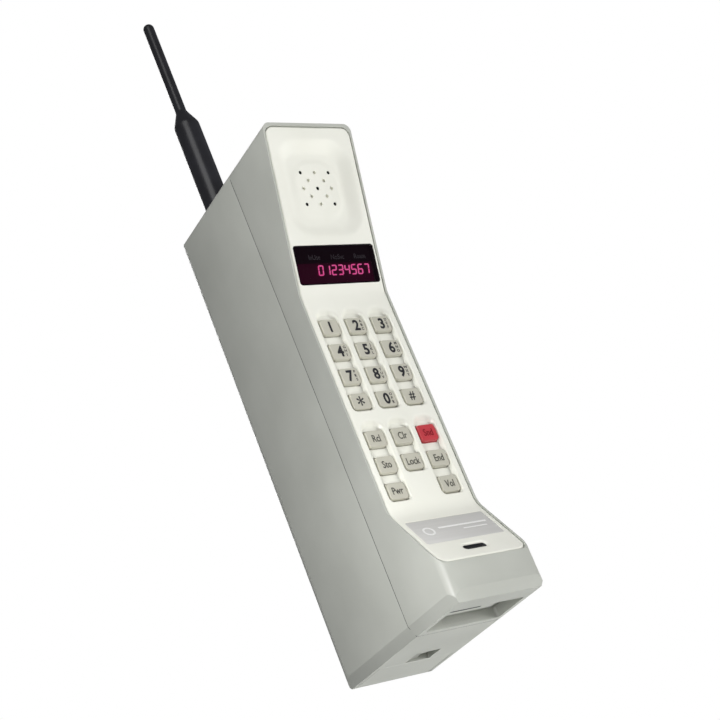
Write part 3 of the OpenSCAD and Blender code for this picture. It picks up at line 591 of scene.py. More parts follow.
def rounded_bar(bm: Shape, low: Triple, high: Triple, corner: float, edge: float = 0.0,
                axis: int = 1, steps: int = 5) -> None:
    """Adds a block with four rounded corners and, if asked, a soft rim at the low end of an axis.

    Args:
        bm: The bmesh to add to.
        low: Its lowest corner, in millimetres.
        high: Its highest corner, in millimetres.
        corner: Radius of the four corners seen along the axis, in millimetres.
        edge: Radius of the rim at the low end of the axis, in millimetres, or 0 for a sharp one.
        axis: The axis that the corners' edges follow.
        steps: Steps across a corner.
    """
    known = set(bm.verts)
    added = block(bm, low, high)
    long = 0.9 * (high[axis] - low[axis]) * MM
    bevel(bm, {e for v in added for e in v.link_edges
               if abs((e.verts[0].co - e.verts[1].co)[axis]) > long}, corner, steps)
    if edge:
        added = set(bm.verts) - known
        bevel(bm, {e for v in added for e in v.link_edges
                   if all(abs(w.co[axis] - low[axis] * MM) < TOUCH for w in e.verts)}, edge, 3)


def plate(bm: Shape, width: float, height: float, low: float, high: float, corner: float,
          steps: int = 5) -> None:
    """Adds a plate with rounded corners.

    Args:
        bm: The bmesh to add to.
        width: Its size along X, in millimetres, as all of them.
        height: Its size along Y.
        low: Where it starts along Z.
        high: Where it ends along Z.
        corner: Radius of its corners.
        steps: Steps across a corner.
    """
    rounded_bar(bm, (-width / 2, -height / 2, low), (width / 2, height / 2, high), corner,
                axis=2, steps=steps)


def raise_flat(bm: Shape, height: float) -> None:
    """Gives a flat shape a thickness along Z, in millimetres, and keeps its face as the bottom."""
    raised = bmesh.ops.extrude_face_region(bm, geom=bm.faces[:], use_keep_orig=True)["geom"]
    bmesh.ops.translate(bm, verts=[v for v in raised if isinstance(v, Vert)], vec=(0, 0, height * MM))


def join(bm: Shape, part: Shape, stand: Matrix) -> None:
    """Adds a shape to a bmesh at a place, and frees the shape."""
    mesh = bpy.data.meshes.new("part")
    part.transform(stand)
    part.to_mesh(mesh)
    part.free()
    bm.from_mesh(mesh)
    bpy.data.meshes.remove(mesh)


def lettering(bm: Shape, words: str, height: float, stand: Matrix, material: int,
              bold: float = 0.0, squeeze: float = 1.0, lift: float = 0.03) -> None:
    """Adds raised printing to a bmesh.

    Args:
        bm: The bmesh to add to.
        words: What is printed.
        height: Height of a capital letter.
        stand: Where the middle of the words stands: X along them, Y up, Z out of the surface.
        material: The printing's material number.
        bold: How much every stroke is widened on each side.
        squeeze: Width of the letters, as a share of the font's own.
        lift: Thickness of the ink.
    """
    curve = bpy.data.curves.new("words", "FONT")
    curve.body = words
    curve.size = height / CAPITAL * MM
    curve.offset = bold * MM
    curve.extrude = lift / 2 * MM
    curve.resolution_u = 3
    holder = bpy.data.objects.new("words", curve)
    bpy.context.scene.collection.objects.link(holder)
    bpy.context.view_layer.update()
    mesh = bpy.data.meshes.new_from_object(
        holder.evaluated_get(bpy.context.evaluated_depsgraph_get()))
    bpy.data.objects.remove(holder)
    bpy.data.curves.remove(curve)
    xs, ys = [v.co.x for v in mesh.vertices], [v.co.y for v in mesh.vertices]
    centre = Vector(((min(xs) + max(xs)) / 2, (min(ys) + max(ys)) / 2, 0))
    mesh.transform(stand @ shift(0, 0, lift / 2) @ Matrix.Diagonal((squeeze, 1, 1, 1))
                   @ Matrix.Translation(-centre))
    known = set(bm.faces)
    bm.from_mesh(mesh)
    for face in set(bm.faces) - known:
        face.material_index = material
    bpy.data.meshes.remove(mesh)


def facing(x: float, y: float, z: float, tilt: float = 0.0) -> Matrix:
    """A place that looks toward -Y, in millimetres: X across, Y up it, Z out of it.

    Args:
        x: Place across.
        y: Place from front to back.
        z: Height.
        tilt: How far the surface leans, in degrees. Positive looks down.

    Returns:
        The matrix, in metres.
    """
    return shift(x, y, z) @ Matrix.Rotation(math.radians(90 + tilt), 4, "X")


def centre_of(node: str) -> Vector:
    """Middle of a CAD node's box, in millimetres."""
    low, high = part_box(node)
    return (low + high) / 2 / MM


# ---- The face line ----

@dataclass
class FaceLine:
    """The face seen from the side: chin, keypad plane and leaning earpiece, with rounded bends.

    It also says where things sit on it: how far below the top the earpiece and the window are, and
    how high the nameplate and the microphone's slot are.
    """

    front: float = -44.45
    top: float = 216.0
    ear_bend: float = 143.9
    waist: float = -24.1
    chin_bend: float = 44.1
    lip: float = -42.1
    lip_z: float = 15.6
    bend_r: float = 12.0
    ear_drop: float = 27.3
    window_drop: float = 59.95
    name_z: float = 32.3
    slot_z: float = 21.6

    @property
    def ear_tilt(self) -> float:
        """Lean of the earpiece section, in degrees."""
        return math.degrees(math.atan((self.waist - self.front) / (self.top - self.ear_bend)))

    @property
    def chin_tilt(self) -> float:
        """Lean of the chin, in degrees."""
        return -math.degrees(math.atan((self.waist - self.lip) / (self.chin_bend - self.lip_z)))

    def depth(self, z: float) -> float:
        """Y of the face at a height, in millimetres."""
        centre = self.waist - self.bend_r
        for bend, tilt, way in ((self.ear_bend, self.ear_tilt, 1), (self.chin_bend, -self.chin_tilt, -1)):
            angle = math.radians(tilt)
            start = bend - way * self.bend_r * math.tan(angle / 2)
            past = (z - start) * way
            if past <= 0:
                continue
            if past < self.bend_r * math.sin(angle):
                return centre + math.sqrt(self.bend_r ** 2 - past ** 2)
            return self.waist - (z - bend) * way * math.tan(angle)
        return self.waist

    def on_ear(self, drop: float, inward: float = 0.0) -> Matrix:
        """A place on the earpiece section, a distance below the top and a depth under the surface."""
        y = self.front + (self.waist - self.front) * drop / (self.top - self.ear_bend)
        return facing(0, y, self.top - drop, self.ear_tilt) @ shift(0, 0, -inward)

    def on_chin(self, z: float, inward: float = 0.0) -> Matrix:
        """A place on the chin at a height, and a depth under the surface."""
        y = self.lip + (self.waist - self.lip) * (z - self.lip_z) / (self.chin_bend - self.lip_z)
        return facing(0, y, z, self.chin_tilt) @ shift(0, 0, -inward)


LINE = FaceLine()


# ---- Shells ----

@dataclass
class Shells:
    """The front and rear shells, with the soft edges that a mould leaves."""

    edge: float = 2.8
    plain_share: float = 0.18
    inner_share: float = 0.055
    seam_share: float = 0.03
    parting: float = -10.2
    half_width: float = 22.225
    skin: float = 1.0
    seam_reach: float = 0.4
    near: float = 0.2
    rim_deep: float = 4.0
    rim_z: float = 14.0
    foot_z: float = 5.2
    top_z: float = 212.0
    corner_z: tuple[float, float] = (4.5, 15.5)
    corner_y: float = -38.0
    recess_x: float = 19.5

    def share(self, at: Vector) -> float:
        """How much of the rounding an edge gets.

        Args:
            at: The middle of the edge, in millimetres.

        Returns:
            Its share of the width: most for the chin's corners, little for openings and the seam.
        """
        if abs(at.y - self.parting) < self.seam_reach:
            return self.seam_share
        face, side = LINE.depth(at.z), abs(at.x)
        if not (side > self.half_width - self.skin or at.y > CAD_BOX[1].y / MM - self.skin
                or at.z < self.foot_z or at.z > self.top_z or at.y < face + self.skin):
            return 0.0
        rim = side < self.half_width - self.near and at.y < face + self.rim_deep and at.z > self.rim_z
        if rim or at.z < self.near and side < self.recess_x:
            return self.inner_share
        low, high = self.corner_z
        corner = side > self.half_width - self.near and at.y < self.corner_y and low < at.z < high
        return 1.0 if corner else self.plain_share

    def build(self) -> None:
        """Builds both shells."""
        for node, name, finish in (("front_housing", "front_shell", SHELL),
                                   ("rear_housing", "rear_shell", REAR)):
            made = settle(copied(node), name, [finish], "phone", (node,), turn=False)
            soften(made, self.edge, self.share)


@dataclass
class SeamShadeStrip:
    """A thin black strip set almost flush in the groove between the two shells: painted shade of the seam.
    """

    width: float = 44.45
    height: float = 215.3
    # the strip sits almost at the surface, so its black reads as the seam's painted shade
    deep: float = 0.02
    body: float = 0.5
    thick: float = 0.36
    parting: float = -10.2
    bevel_in: float = 2.2
    bevel_up: float = 4.4
    top_r: float = 3.5

    def build(self) -> None:
        """Builds the shade strip as one closed frame round the phone."""
        bm = bmesh.new()
        bmesh.ops.create_grid(bm, x_segments=1, y_segments=1, size=0.5)
        bmesh.ops.scale(bm, verts=bm.verts, vec=(self.width * MM, self.height * MM, 1))
        top = [v for v in bm.verts if v.co.y > 0]
        low = [v for v in bm.verts if v.co.y < 0]
        bevel(bm, top, self.top_r, 6, "VERTICES")
        bevel(bm, low, self.bevel_up, 1, "VERTICES")
        foot = -self.height / 2 * MM
        for v in bm.verts:
            if v.co.y < foot + 10 * TOUCH:
                v.co.x = math.copysign((self.width / 2 - self.bevel_in) * MM, v.co.x)
        plain, loop = bm.faces[:], [e for e in bm.edges if e.is_boundary]
        self.shrink(bm, bm.verts[:], self.deep)
        inner = [v for v in bmesh.ops.extrude_edge_only(bm, edges=loop)["geom"] if isinstance(v, Vert)]
        self.shrink(bm, inner, self.body)
        bmesh.ops.delete(bm, geom=plain, context="FACES_ONLY")
        raise_flat(bm, self.thick)
        bm.transform(facing(0, self.parting + self.thick / 2, self.height / 2))
        # black rubber strip that paints the shade of the groove between the shells
        settle(bm, "seam_shade_strip", [BLACK_RUBBER], "phone")

    def shrink(self, bm: Shape, verts: list[Vert], inward: float) -> None:
        """Moves part of the frame toward its middle by a distance in millimetres."""
        bmesh.ops.scale(bm, verts=verts, vec=(1 - 2 * inward / self.width,
                                              1 - 2 * inward / self.height, 1))


# ---- Face plate ----

@dataclass
class Fascia:
    """The cream face plate: dished earpiece, finger channels, nameplate pocket and openings."""

    width: float = 42.5
    low: float = 15.75
    high: float = 214.55
    corner: float = 4.0
    thick: float = 3.2
    across: int = 110
    along: int = 430
    edge_pack: float = 0.3
    edge_r: float = 1.1
    dish: Triple = (38.0, 44.0, 11.0)
    dish_depth: float = 2.4
    dish_slope: float = 7.0
    pad: Triple = (25.0, 29.0, 11.0)
    pad_drop: float = 0.5
    pad_rise: float = 0.5
    pad_slope: float = 3.0
    channel_w: float = 11.4
    channel_depth: float = 2.0
    channel_slope: float = 1.3
    channel_foot: float = 1.0
    foot_r: float = 2.6
    arch: float = 4.8
    arch_slope: float = 1.6
    columns: Triple = (-12.8, 0.0, 12.8)
    groups: tuple[tuple[str, str, str], ...] = (
        ("key_1", "key_star", "key_star"), ("key_recall", "key_power", "key_store"))
    flange: float = 0.6
    key_corner: float = 1.3
    gap: float = 0.25
    key_cut: tuple[float, float] = (-27.0, -17.0)
    window: Triple = (40.3, 17.0, 1.4)
    pocket: Triple = (37.7, 15.5, 1.0)
    pocket_deep: float = 0.5
    slot: Triple = (11.0, 3.0, 1.49)
    slot_lip: float = 0.9
    slot_lip_deep: float = 0.5
    cut: float = 8.0
    proud: float = 4.0
    sound_r: float = 0.8
    sound_pitch: float = 3.5
    sound_inner: float = 1.1
    blind_depth: float = 1.0
    # the felt sits this close under the surface so its black stands in for the holes' painted shade
    felt_deep: float = 0.3
    felt_thick: float = 0.3

    def cap(self, node: str) -> tuple[float, float, float, float]:
        """Middle X, middle Z, width and height of a key's cap, in millimetres."""
        low, high = (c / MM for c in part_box(node))
        return ((low.x + high.x) / 2, (low.z + high.z) / 2, high.x - low.x - 2 * self.flange,
                high.z - low.z - 2 * self.flange)

    def channels(self) -> list[Triple]:
        """Middle X, lowest Z and highest Z of every channel, in millimetres."""
        made = []
        for first, last, middle_last in self.groups:
            _, z, _, tall = self.cap(first)
            top = z + tall / 2 + self.arch
            for x in self.columns:
                end = self.cap(middle_last if x == 0 else last)
                made.append((x, end[1] - end[3] / 2 - self.channel_foot, top))
        return made

    def sink(self, x: float, z: float, channels: list[Triple]) -> float:
        """How far the moulded surface lies behind the plain face line at a place.

        Args:
            x: The place across, in millimetres.
            z: Its height.
            channels: The key channels, as channels() gives them.

        Returns:
            The depth of the rim, the dish, the channels and the microphone's lip together.
        """
        middle, tall = (self.low + self.high) / 2, self.high - self.low
        inside = max(-outline_distance(x, z - middle, self.width, tall, self.corner), 0.0)
        rise = max(self.edge_r - inside, 0.0)
        deep = self.edge_r - math.sqrt(self.edge_r ** 2 - rise ** 2)
        up = (z - (LINE.top - LINE.ear_drop)) / math.cos(math.radians(LINE.ear_tilt))
        if abs(up) < self.dish[1]:
            inside = -outline_distance(x, up, *self.dish)
            deep += self.dish_depth * smooth(inside / self.dish_slope)
            inside = -outline_distance(x, up + self.pad_drop, *self.pad)
            deep -= self.pad_rise * smooth(inside / self.pad_slope)
        for column, low, high in channels:
            if abs(x - column) < self.channel_w and low < z < high:
                slope = self.channel_slope + self.arch_slope * smooth((z - high + self.arch + 1) / self.arch)
                up = z - (low + high) / 2
                inside = -outline_distance(x - column, up, self.channel_w, high - low,
                                           self.arch if up > 0 else self.foot_r)
                deep += self.channel_depth * smooth(inside / slope)
        up = (z - LINE.slot_z) / math.cos(math.radians(LINE.chin_tilt))
        return deep + self.slot_lip_deep * (1 - smooth(outline_distance(x, up, *self.slot) / self.slot_lip))

    def sheet(self) -> Shape:
        """Builds the moulded plate as one solid, before its openings are cut."""
        bm = bmesh.new()
        bmesh.ops.create_grid(bm, x_segments=self.across, y_segments=self.along, size=1.0)
        side = bm.verts.layers.int.new("side")
        for v in bm.verts:
            v[side] = round(v.co.x) if abs(v.co.x) > 1 - 1e-6 else 0
        channels = self.channels()
        half, tall = self.width / 2, (self.high - self.low) / 2
        pack, r = self.edge_pack, self.corner
        for v in bm.verts:
            s, t = v.co.x, v.co.y
            x = half * s * (1 + pack * (1 - s * s))
            z = tall * t * (1 + pack * (1 - t * t))
            u, w = (abs(x) - half + r) / r, (abs(z) - tall + r) / r
            if u > 0 and w > 0:
                x = math.copysign(half - r + r * u * math.sqrt(1 - w * w / 2), x)
                z = math.copysign(tall - r + r * w * math.sqrt(1 - u * u / 2), z)
            z += (self.low + self.high) / 2
            v.co = Vector((x, LINE.depth(z) + self.sink(x, z, channels), z)) * MM
        rim = [e for e in bm.edges if e.is_boundary]
        made = bmesh.ops.extrude_edge_only(bm, edges=rim)["geom"]
        behind = [v for v in made if isinstance(v, Vert)]
        for v in behind:
            v.co.y = (LINE.depth(v.co.z / MM) + self.thick) * MM
        chosen = set(behind)
        flanks = [e for e in bm.edges if e.is_boundary and e.verts[0] in chosen
                  and e.verts[0][side] == e.verts[1][side] != 0]
        bmesh.ops.bridge_loops(bm, edges=flanks)
        bmesh.ops.holes_fill(bm, edges=[e for e in bm.edges if e.is_boundary], sides=0)
        return bm

    def sound_holes(self) -> list[tuple[float, float, bool]]:
        """Place across and up of every sound hole, and whether it goes through."""
        made = []
        for row in range(-2, 3):
            for i in (-1, 0, 1) if row % 2 == 0 else (-1, 1):
                step = self.sound_pitch * (2 if row % 2 == 0 else self.sound_inner)
                made.append((i * step, row * self.sound_pitch, abs(row) == 2 * abs(i)))
        return made

    def peg(self, bm: Shape, x: float, up: float, low: float, high: float, radius: float) -> None:
        """Adds a round peg on the earpiece.

        Args:
            bm: The bmesh to add to.
            x: Its place across, in millimetres, as all of them.
            up: Its place up the earpiece, from the middle of the dish.
            low: Its lower end, from the plain face line.
            high: Its upper end.
            radius: Its radius.
        """
        stand = LINE.on_ear(LINE.ear_drop) @ shift(x, up, (low + high) / 2)
        bmesh.ops.create_cone(bm, cap_ends=True, segments=20, radius1=radius * MM,
                              radius2=radius * MM, depth=(high - low) * MM, matrix=stand)

    def cutters(self) -> Shape:
        """Builds the shapes of all the openings: keys, window, nameplate, mic slot, sound holes."""
        bm = bmesh.new()
        grow = self.gap
        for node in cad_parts:
            if node.startswith("key_"):
                x, z, wide, high = self.cap(node)
                rounded_bar(bm, (x - wide / 2 - grow, self.key_cut[0], z - high / 2 - grow),
                            (x + wide / 2 + grow, self.key_cut[1], z + high / 2 + grow),
                            self.key_corner + grow)
        for stand, (wide, high, corner), deep in (
                (LINE.on_ear(LINE.window_drop), self.window, self.cut),
                (LINE.on_chin(LINE.name_z), self.pocket, self.pocket_deep),
                (LINE.on_chin(LINE.slot_z), self.slot, self.cut)):
            shape = bmesh.new()
            plate(shape, wide, high, -deep, self.proud, corner)
            join(bm, shape, stand)
        floor = self.pad_rise - self.dish_depth - self.blind_depth
        for x, up, through in self.sound_holes():
            self.peg(bm, x, up, -self.cut if through else floor, self.cut, self.sound_r)
        return bm

    def felt(self) -> None:
        """Builds black felt spots just under the surface of the through sound holes: partly a dust felt,
        partly painted shade of the deep holes.
        """
        bm = bmesh.new()
        top = self.pad_rise - self.dish_depth - self.felt_deep
        for x, up, through in self.sound_holes():
            if through:
                self.peg(bm, x, up, top - self.felt_thick, top, self.sound_r - 0.01)
        settle(bm, "sound_felt_shade", [SHADE_FELT], "phone")

    def build(self) -> None:
        """Builds the face plate, cuts its openings and closes the sound holes with dark felt that paints
        their shade.
        """
        self.felt()
        mesh, tool_mesh = bpy.data.meshes.new("face_work"), bpy.data.meshes.new("face_tools")
        for shape, target in ((self.sheet(), mesh), (self.cutters(), tool_mesh)):
            bmesh.ops.recalc_face_normals(shape, faces=shape.faces)
            shape.to_mesh(target)
            shape.free()
        work, tool = as_object(mesh, "face_work"), as_object(tool_mesh, "face_tools")
        cut = work.modifiers.new("openings", "BOOLEAN")
        cut.object, cut.operation, cut.solver = tool, "DIFFERENCE", "MANIFOLD"
        bpy.context.view_layer.update()
        done = bpy.data.meshes.new_from_object(
            work.evaluated_get(bpy.context.evaluated_depsgraph_get()))
        bm = bmesh.new()
        bm.from_mesh(done)
        for spare in (work, tool):
            bpy.data.objects.remove(spare)
        settle(bm, "fascia", [FASCIA], "phone", ("face_plate",), sharp=32, turn=False)


# ---- Keypad ----

class Legend(Enum):
    """How a key is printed."""

    NUMBER = "number"
    FUNCTION = "function"
    SEND = "send"


@dataclass
class Key:
    """One key: a soft-edged cap with a shallow dish, its flange, its post and its printing."""

    node: str
    words: str
    letters: str = ""
    legend: Legend = Legend.NUMBER
    flange: float = 0.6
    flange_t: float = 0.8
    flange_in: float = 3.2
    corner: float = 1.3
    edge: float = 0.3
    dish: float = 0.05
    draft: float = 0.3
    step: float = 1.9
    post_r: float = 1.8
    sunk: float = 0.06
    ink: float = 0.09
    rings: tuple[tuple[float, float], ...] = ((1.0, 0.0), (0.86, 0.3), (0.64, 0.8), (0.3, 1.0))
    signs: dict[str, tuple[float, float]] = field(default_factory=lambda: {
        "*": (7.0, 0.05), "#": (4.0, 0.05)})
    digit: tuple[float, float] = (4.9, 0.2)
    letter_h: float = 1.25
    letter_x: float = 2.5
    letter_pitch: float = 1.8
    word_h: float = 3.2

    def cap(self, bm: Shape) -> float:
        """Adds the cap, the flange and the post.

        Args:
            bm: The key's bmesh.

        Returns:
            The depth of the rim of the top, in millimetres.
        """
        low, high = (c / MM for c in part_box(self.node))
        front, base = low.y, LINE.waist + self.flange_in
        cap_low = Vector((low.x + self.flange, front, low.z + self.flange))
        cap_high = Vector((high.x - self.flange, base + 0.1, high.z - self.flange))
        rounded_bar(bm, cap_low, cap_high, self.corner, self.edge)
        bmesh.ops.bisect_plane(bm, geom=bm.verts[:] + bm.edges[:] + bm.faces[:], dist=TOUCH,
                               plane_co=(0, (front + self.step) * MM, 0), plane_no=(0, 1, 0))
        middle, half = (cap_low + cap_high) / 2 * MM, (cap_high - cap_low) / 2
        for v in bm.verts:
            if v.co.y < (front + self.step - 0.1) * MM:
                v.co.x = middle.x + (v.co.x - middle.x) * (1 - self.draft / half.x)
                v.co.z = middle.z + (v.co.z - middle.z) * (1 - self.draft / half.z)
        bm.normal_update()
        top = [f for f in bm.faces
               if f.normal.y < -0.99 and f.calc_center_median().y < front * MM + 10 * TOUCH]
        for (last, _), (scale, share) in zip(self.rings, self.rings[1:]):
            bmesh.ops.inset_individual(bm, faces=top, thickness=0.0)
            for v in {v for f in top for v in f.verts}:
                v.co.x = middle.x + (v.co.x - middle.x) * scale / last
                v.co.z = middle.z + (v.co.z - middle.z) * scale / last
                v.co.y = (front + self.dish * share) * MM
        behind = base + self.flange_t
        block(bm, (low.x, base, low.z), (high.x, behind, high.z))
        foot = high.y - behind + 0.1
        bmesh.ops.create_cone(bm, cap_ends=True, segments=20, radius1=self.post_r * MM,
                              radius2=self.post_r * MM, depth=foot * MM,
                              matrix=facing(middle.x / MM, high.y - foot / 2, middle.z / MM))
        return front

    def build(self, body: str) -> None:
        """Builds the key on its body."""
        bm = bmesh.new()
        deep = self.cap(bm) + self.sunk
        bmesh.ops.recalc_face_normals(bm, faces=bm.faces)
        x, _, z = centre_of(self.node)
        if self.legend is Legend.NUMBER:
            size, bold = self.signs.get(self.words, self.digit)
            lettering(bm, self.words, size, facing(x - 0.1, deep, z), 1, bold, 0.86, self.ink)
            for i, letter in enumerate(self.letters):
                up = z + self.letter_pitch * (1 - i)
                lettering(bm, letter, self.letter_h, facing(x + self.letter_x, deep, up), 1,
                          bold=0.02, lift=self.ink)
        else:
            lettering(bm, self.words, self.word_h, facing(x, deep, z), 1, 0.03, 0.74, self.ink)
        plastic, ink = {Legend.NUMBER: (KEY, INK), Legend.FUNCTION: (KEY, FINE_INK),
                        Legend.SEND: (SEND, RED_INK)}[self.legend]
        settle(bm, self.node + "_cap", [plastic, ink], body, (self.node,), 35, turn=False)


@dataclass
class Keypad:
    """Twenty keys: twelve numbers and eight functions."""

    numbers: tuple[tuple[str, str, str], ...] = (
        ("1", "1", ""), ("2", "2", "ABC"), ("3", "3", "DEF"), ("4", "4", "GHI"), ("5", "5", "JKL"),
        ("6", "6", "MNO"), ("7", "7", "PRS"), ("8", "8", "TUV"), ("9", "9", "WXY"),
        ("star", "*", ""), ("0", "0", "OPR"), ("hash", "#", ""))
    functions: tuple[tuple[str, str], ...] = (
        ("recall", "Rcl"), ("clear", "Clr"), ("send", "Snd"), ("store", "Sto"), ("lock", "Lock"),
        ("end", "End"), ("power", "Pwr"), ("volume", "Vol"))

    def build(self) -> None:
        """Builds every key."""
        for name, words, letters in self.numbers:
            Key("key_" + name, words, letters).build("button_" + name)
        for name, words in self.functions:
            kind = Legend.SEND if name == "send" else Legend.FUNCTION
            Key("key_" + name, words, legend=kind).build("button_" + name)


# ---- Display ----

@dataclass
class Display:
    """The window, the paint behind it, the film and the lit digits."""

    width: float = 40.2
    height: float = 16.9
    thick: float = 1.4
    sunk: float = 0.1
    corner: float = 1.4
    edge: float = 0.25
    paint_t: float = 0.06
    behind: float = 0.08
    inset: float = 0.1
    opening: Triple = (0.9, 1.1, 1.2)
    tray: float = 0.9
    tray_t: float = 0.1
    labels: tuple[tuple[float, str], ...] = ((-9.5, "InUse"), (2.0, "NoSvc"), (13.2, "Roam"))
    label_y: float = 3.7
    label_h: float = 2.2
    film_in: float = 1.1
    film_behind: float = 0.5
    film_middle: float = 4.0
    film_reach: float = 26.0
    digits: str = "01234567"
    digit_pitch: float = 3.3
    digit_right: float = 4.1
    digit_low: float = -1.8
    digit_depth: float = 2.2
    digit_w: float = 2.1
    digit_h: float = 4.0
    bar: float = 0.5
    bar_gap: float = 0.15
    slant: float = 0.1
    segments: tuple[str, ...] = ("abcdef", "bc", "abged", "abgcd", "fgbc", "afgcd", "afgedc", "abc",
                                 "abcdefg", "abcdfg")

    def lens(self) -> None:
        """Builds the window."""
        bm = bmesh.new()
        plate(bm, self.width, self.height, -self.thick, 0, self.corner)
        bevel(bm, [e for e in bm.edges if all(v.co.z > -TOUCH for v in e.verts)], self.edge, 3)
        bm.transform(LINE.on_ear(LINE.window_drop, self.sunk))
        settle(bm, "display_window", [LENS], "phone", ("display_lens",))

    def border(self, bm: Shape, hole: tuple[float, float, float, float], low: float, high: float) -> None:
        """Adds four bars that fill the window's outline round a hole, just behind the window.

        Args:
            bm: The bmesh to add to.
            hole: Left, right, bottom and top of the hole, from the window's middle.
            low: Depth where the bars end, as a height over the paint, below 0 when behind it.
            high: Height where they start.
        """
        stand = LINE.on_ear(LINE.window_drop, self.sunk + self.thick + self.behind)
        half_w, half_h = self.width / 2 - self.inset, self.height / 2 - self.inset
        left, right, foot, head = hole
        for x0, x1, y0, y1 in ((-half_w, half_w, head, half_h), (-half_w, half_w, -half_h, foot),
                               (-half_w, left, foot, head), (right, half_w, foot, head)):
            block(bm, (x0, y0, low), (x1, y1, high), stand)

    def paint(self) -> None:
        """Builds the black paint behind the window, open over its lower half, its tray and labels."""
        bm = bmesh.new()
        half_w, half_h = self.width / 2 - self.inset, self.height / 2 - self.inset
        foot, head, side = self.opening
        self.border(bm, (side - half_w, half_w - side, foot - half_h, head),
                    -self.paint_t / 2, self.paint_t / 2)
        wide, tall = half_w - self.tray_t, half_h - self.tray_t
        self.border(bm, (-wide, wide, -tall, tall), -self.tray, self.thick - self.inset)
        for x, words in self.labels:
            spot = LINE.on_ear(LINE.window_drop, self.sunk + self.thick + self.behind / 2)
            lettering(bm, words, self.label_h, spot @ shift(x, self.label_y, 0), 1, 0.03, 0.85)
        settle(bm, "display_paint", [MASK_INK, LABEL_INK], "phone", turn=False)

    def film(self) -> None:
        """Builds the film behind the digits, with their light painted on it as a glow."""
        bm = bmesh.new()
        stand = LINE.on_ear(LINE.window_drop, self.digit_depth + self.film_behind)
        plate(bm, self.width - 2 * self.film_in, self.height - 2 * self.film_in, -0.1, 0.1, 0.5)
        bm.transform(stand)
        middle = stand @ (Vector((self.film_middle, self.digit_low, 0)) * MM)
        # the film's emission is a painted glow of the digits' light
        film = FilterFilm("wine_film_painted_glow", "#3a0420", "#8a1450", 0.9, tuple(middle), self.film_reach)
        settle(bm, "display_film", [film], "phone")

    def numbers(self) -> None:
        """Builds the lit digits, seven bars each, leaning a little."""
        bm = bmesh.new()
        lean = Matrix(((1, self.slant, 0, 0), (0, 1, 0, 0), (0, 0, 1, 0), (0, 0, 0, 1)))
        half_w, half_h = self.digit_w / 2, self.digit_h / 2
        flat = (self.digit_w - self.bar_gap, self.bar)
        upright = (self.bar, half_h - self.bar_gap)
        bars = {"a": (0, half_h, flat), "g": (0, 0, flat), "d": (0, -half_h, flat),
                "b": (half_w, half_h / 2, upright), "c": (half_w, -half_h / 2, upright),
                "f": (-half_w, half_h / 2, upright), "e": (-half_w, -half_h / 2, upright)}
        for i, digit in enumerate(reversed(self.digits)):
            x = self.width / 2 - self.digit_right - i * self.digit_pitch
            middle = LINE.on_ear(LINE.window_drop, self.digit_depth) @ shift(x, self.digit_low, 0)
            for key in self.segments[int(digit)]:
                across, up, size = bars[key]
                shape = bmesh.new()
                plate(shape, *size, -0.1, 0.1, self.bar * 0.4, steps=3)
                join(bm, shape, middle @ lean @ shift(across, up, 0))
        settle(bm, "lit_digits", [DIGIT], "phone")

    def build(self) -> None:
        """Builds the whole display."""
        self.lens()
        self.paint()
        self.film()
        self.numbers()


# ---- Nameplate and microphone ----

@dataclass
class Nameplate:
    """A thin foil plate with a plain ring and ruled lines in place of any name."""

    width: float = 37.6
    height: float = 15.4
    thick: float = 0.45
    corner: float = 1.0
    edge: float = 0.12
    sunk: float = 0.05
    ring: Triple = (-12.4, 0.2, 2.6)
    ring_share: float = 0.7
    ink: float = 0.05
    lines: tuple[tuple[float, float, float, float], ...] = ((-7.0, 16.2, 1.5, 0.9), (3.4, 14.8, -1.2, 0.6))

    def build(self) -> None:
        """Builds the plate and its printing."""
        bm = bmesh.new()
        plate(bm, self.width, self.height, -self.thick, 0, self.corner)
        bevel(bm, [e for e in bm.edges if all(v.co.z > -10 * TOUCH for v in e.verts)], self.edge, 2)
        plain = set(bm.faces)
        x, y, radius = self.ring
        ring = bmesh.new()
        bmesh.ops.create_circle(ring, segments=40, radius=radius * MM)
        made = bmesh.ops.extrude_edge_only(ring, edges=ring.edges[:])["geom"]
        bmesh.ops.scale(ring, verts=[v for v in made if isinstance(v, Vert)],
                        vec=(self.ring_share, self.ring_share, 1.0))
        raise_flat(ring, self.ink)
        join(bm, ring, shift(x, y, -0.01))
        for x0, x1, y, tall in self.lines:
            block(bm, (x0, y - tall / 2, 0.01 - self.ink / 2), (x1, y + tall / 2, 0.01 + self.ink / 2))
        for face in set(bm.faces) - plain:
            face.material_index = 1
        bm.transform(LINE.on_chin(LINE.name_z, self.sunk))
        settle(bm, "name_foil", [FOIL, PALE_INK], "phone", ("nameplate",))


@dataclass
class MicNoseShade:
    """The black rubber nose of the microphone's boot, set just under the surface in its slot: partly the
    boot, partly painted shade that makes the slot read black.
    """

    width: float = 10.9
    height: float = 2.9
    # so close under the surface that its black stands in for the slot's painted shade
    sunk: float = 0.7
    length: float = 2.0
    mouth: float = 0.5

    def build(self) -> None:
        """Builds the nose, with a narrow mouth across it."""
        bm = bmesh.new()
        plate(bm, self.width, self.height, -self.length, 0, self.height / 2 - 0.01)
        bm.normal_update()
        top = [f for f in bm.faces if f.normal.z > 0.9]
        bmesh.ops.inset_individual(bm, faces=top, thickness=self.mouth * MM)
        bmesh.ops.translate(bm, verts=list({v for f in top for v in f.verts}), vec=(0, 0, -self.mouth * MM))
        bm.transform(LINE.on_chin(LINE.slot_z, self.sunk))
        settle(bm, "mic_nose_shade", [BLACK_RUBBER], "phone")


# ---- Antenna ----

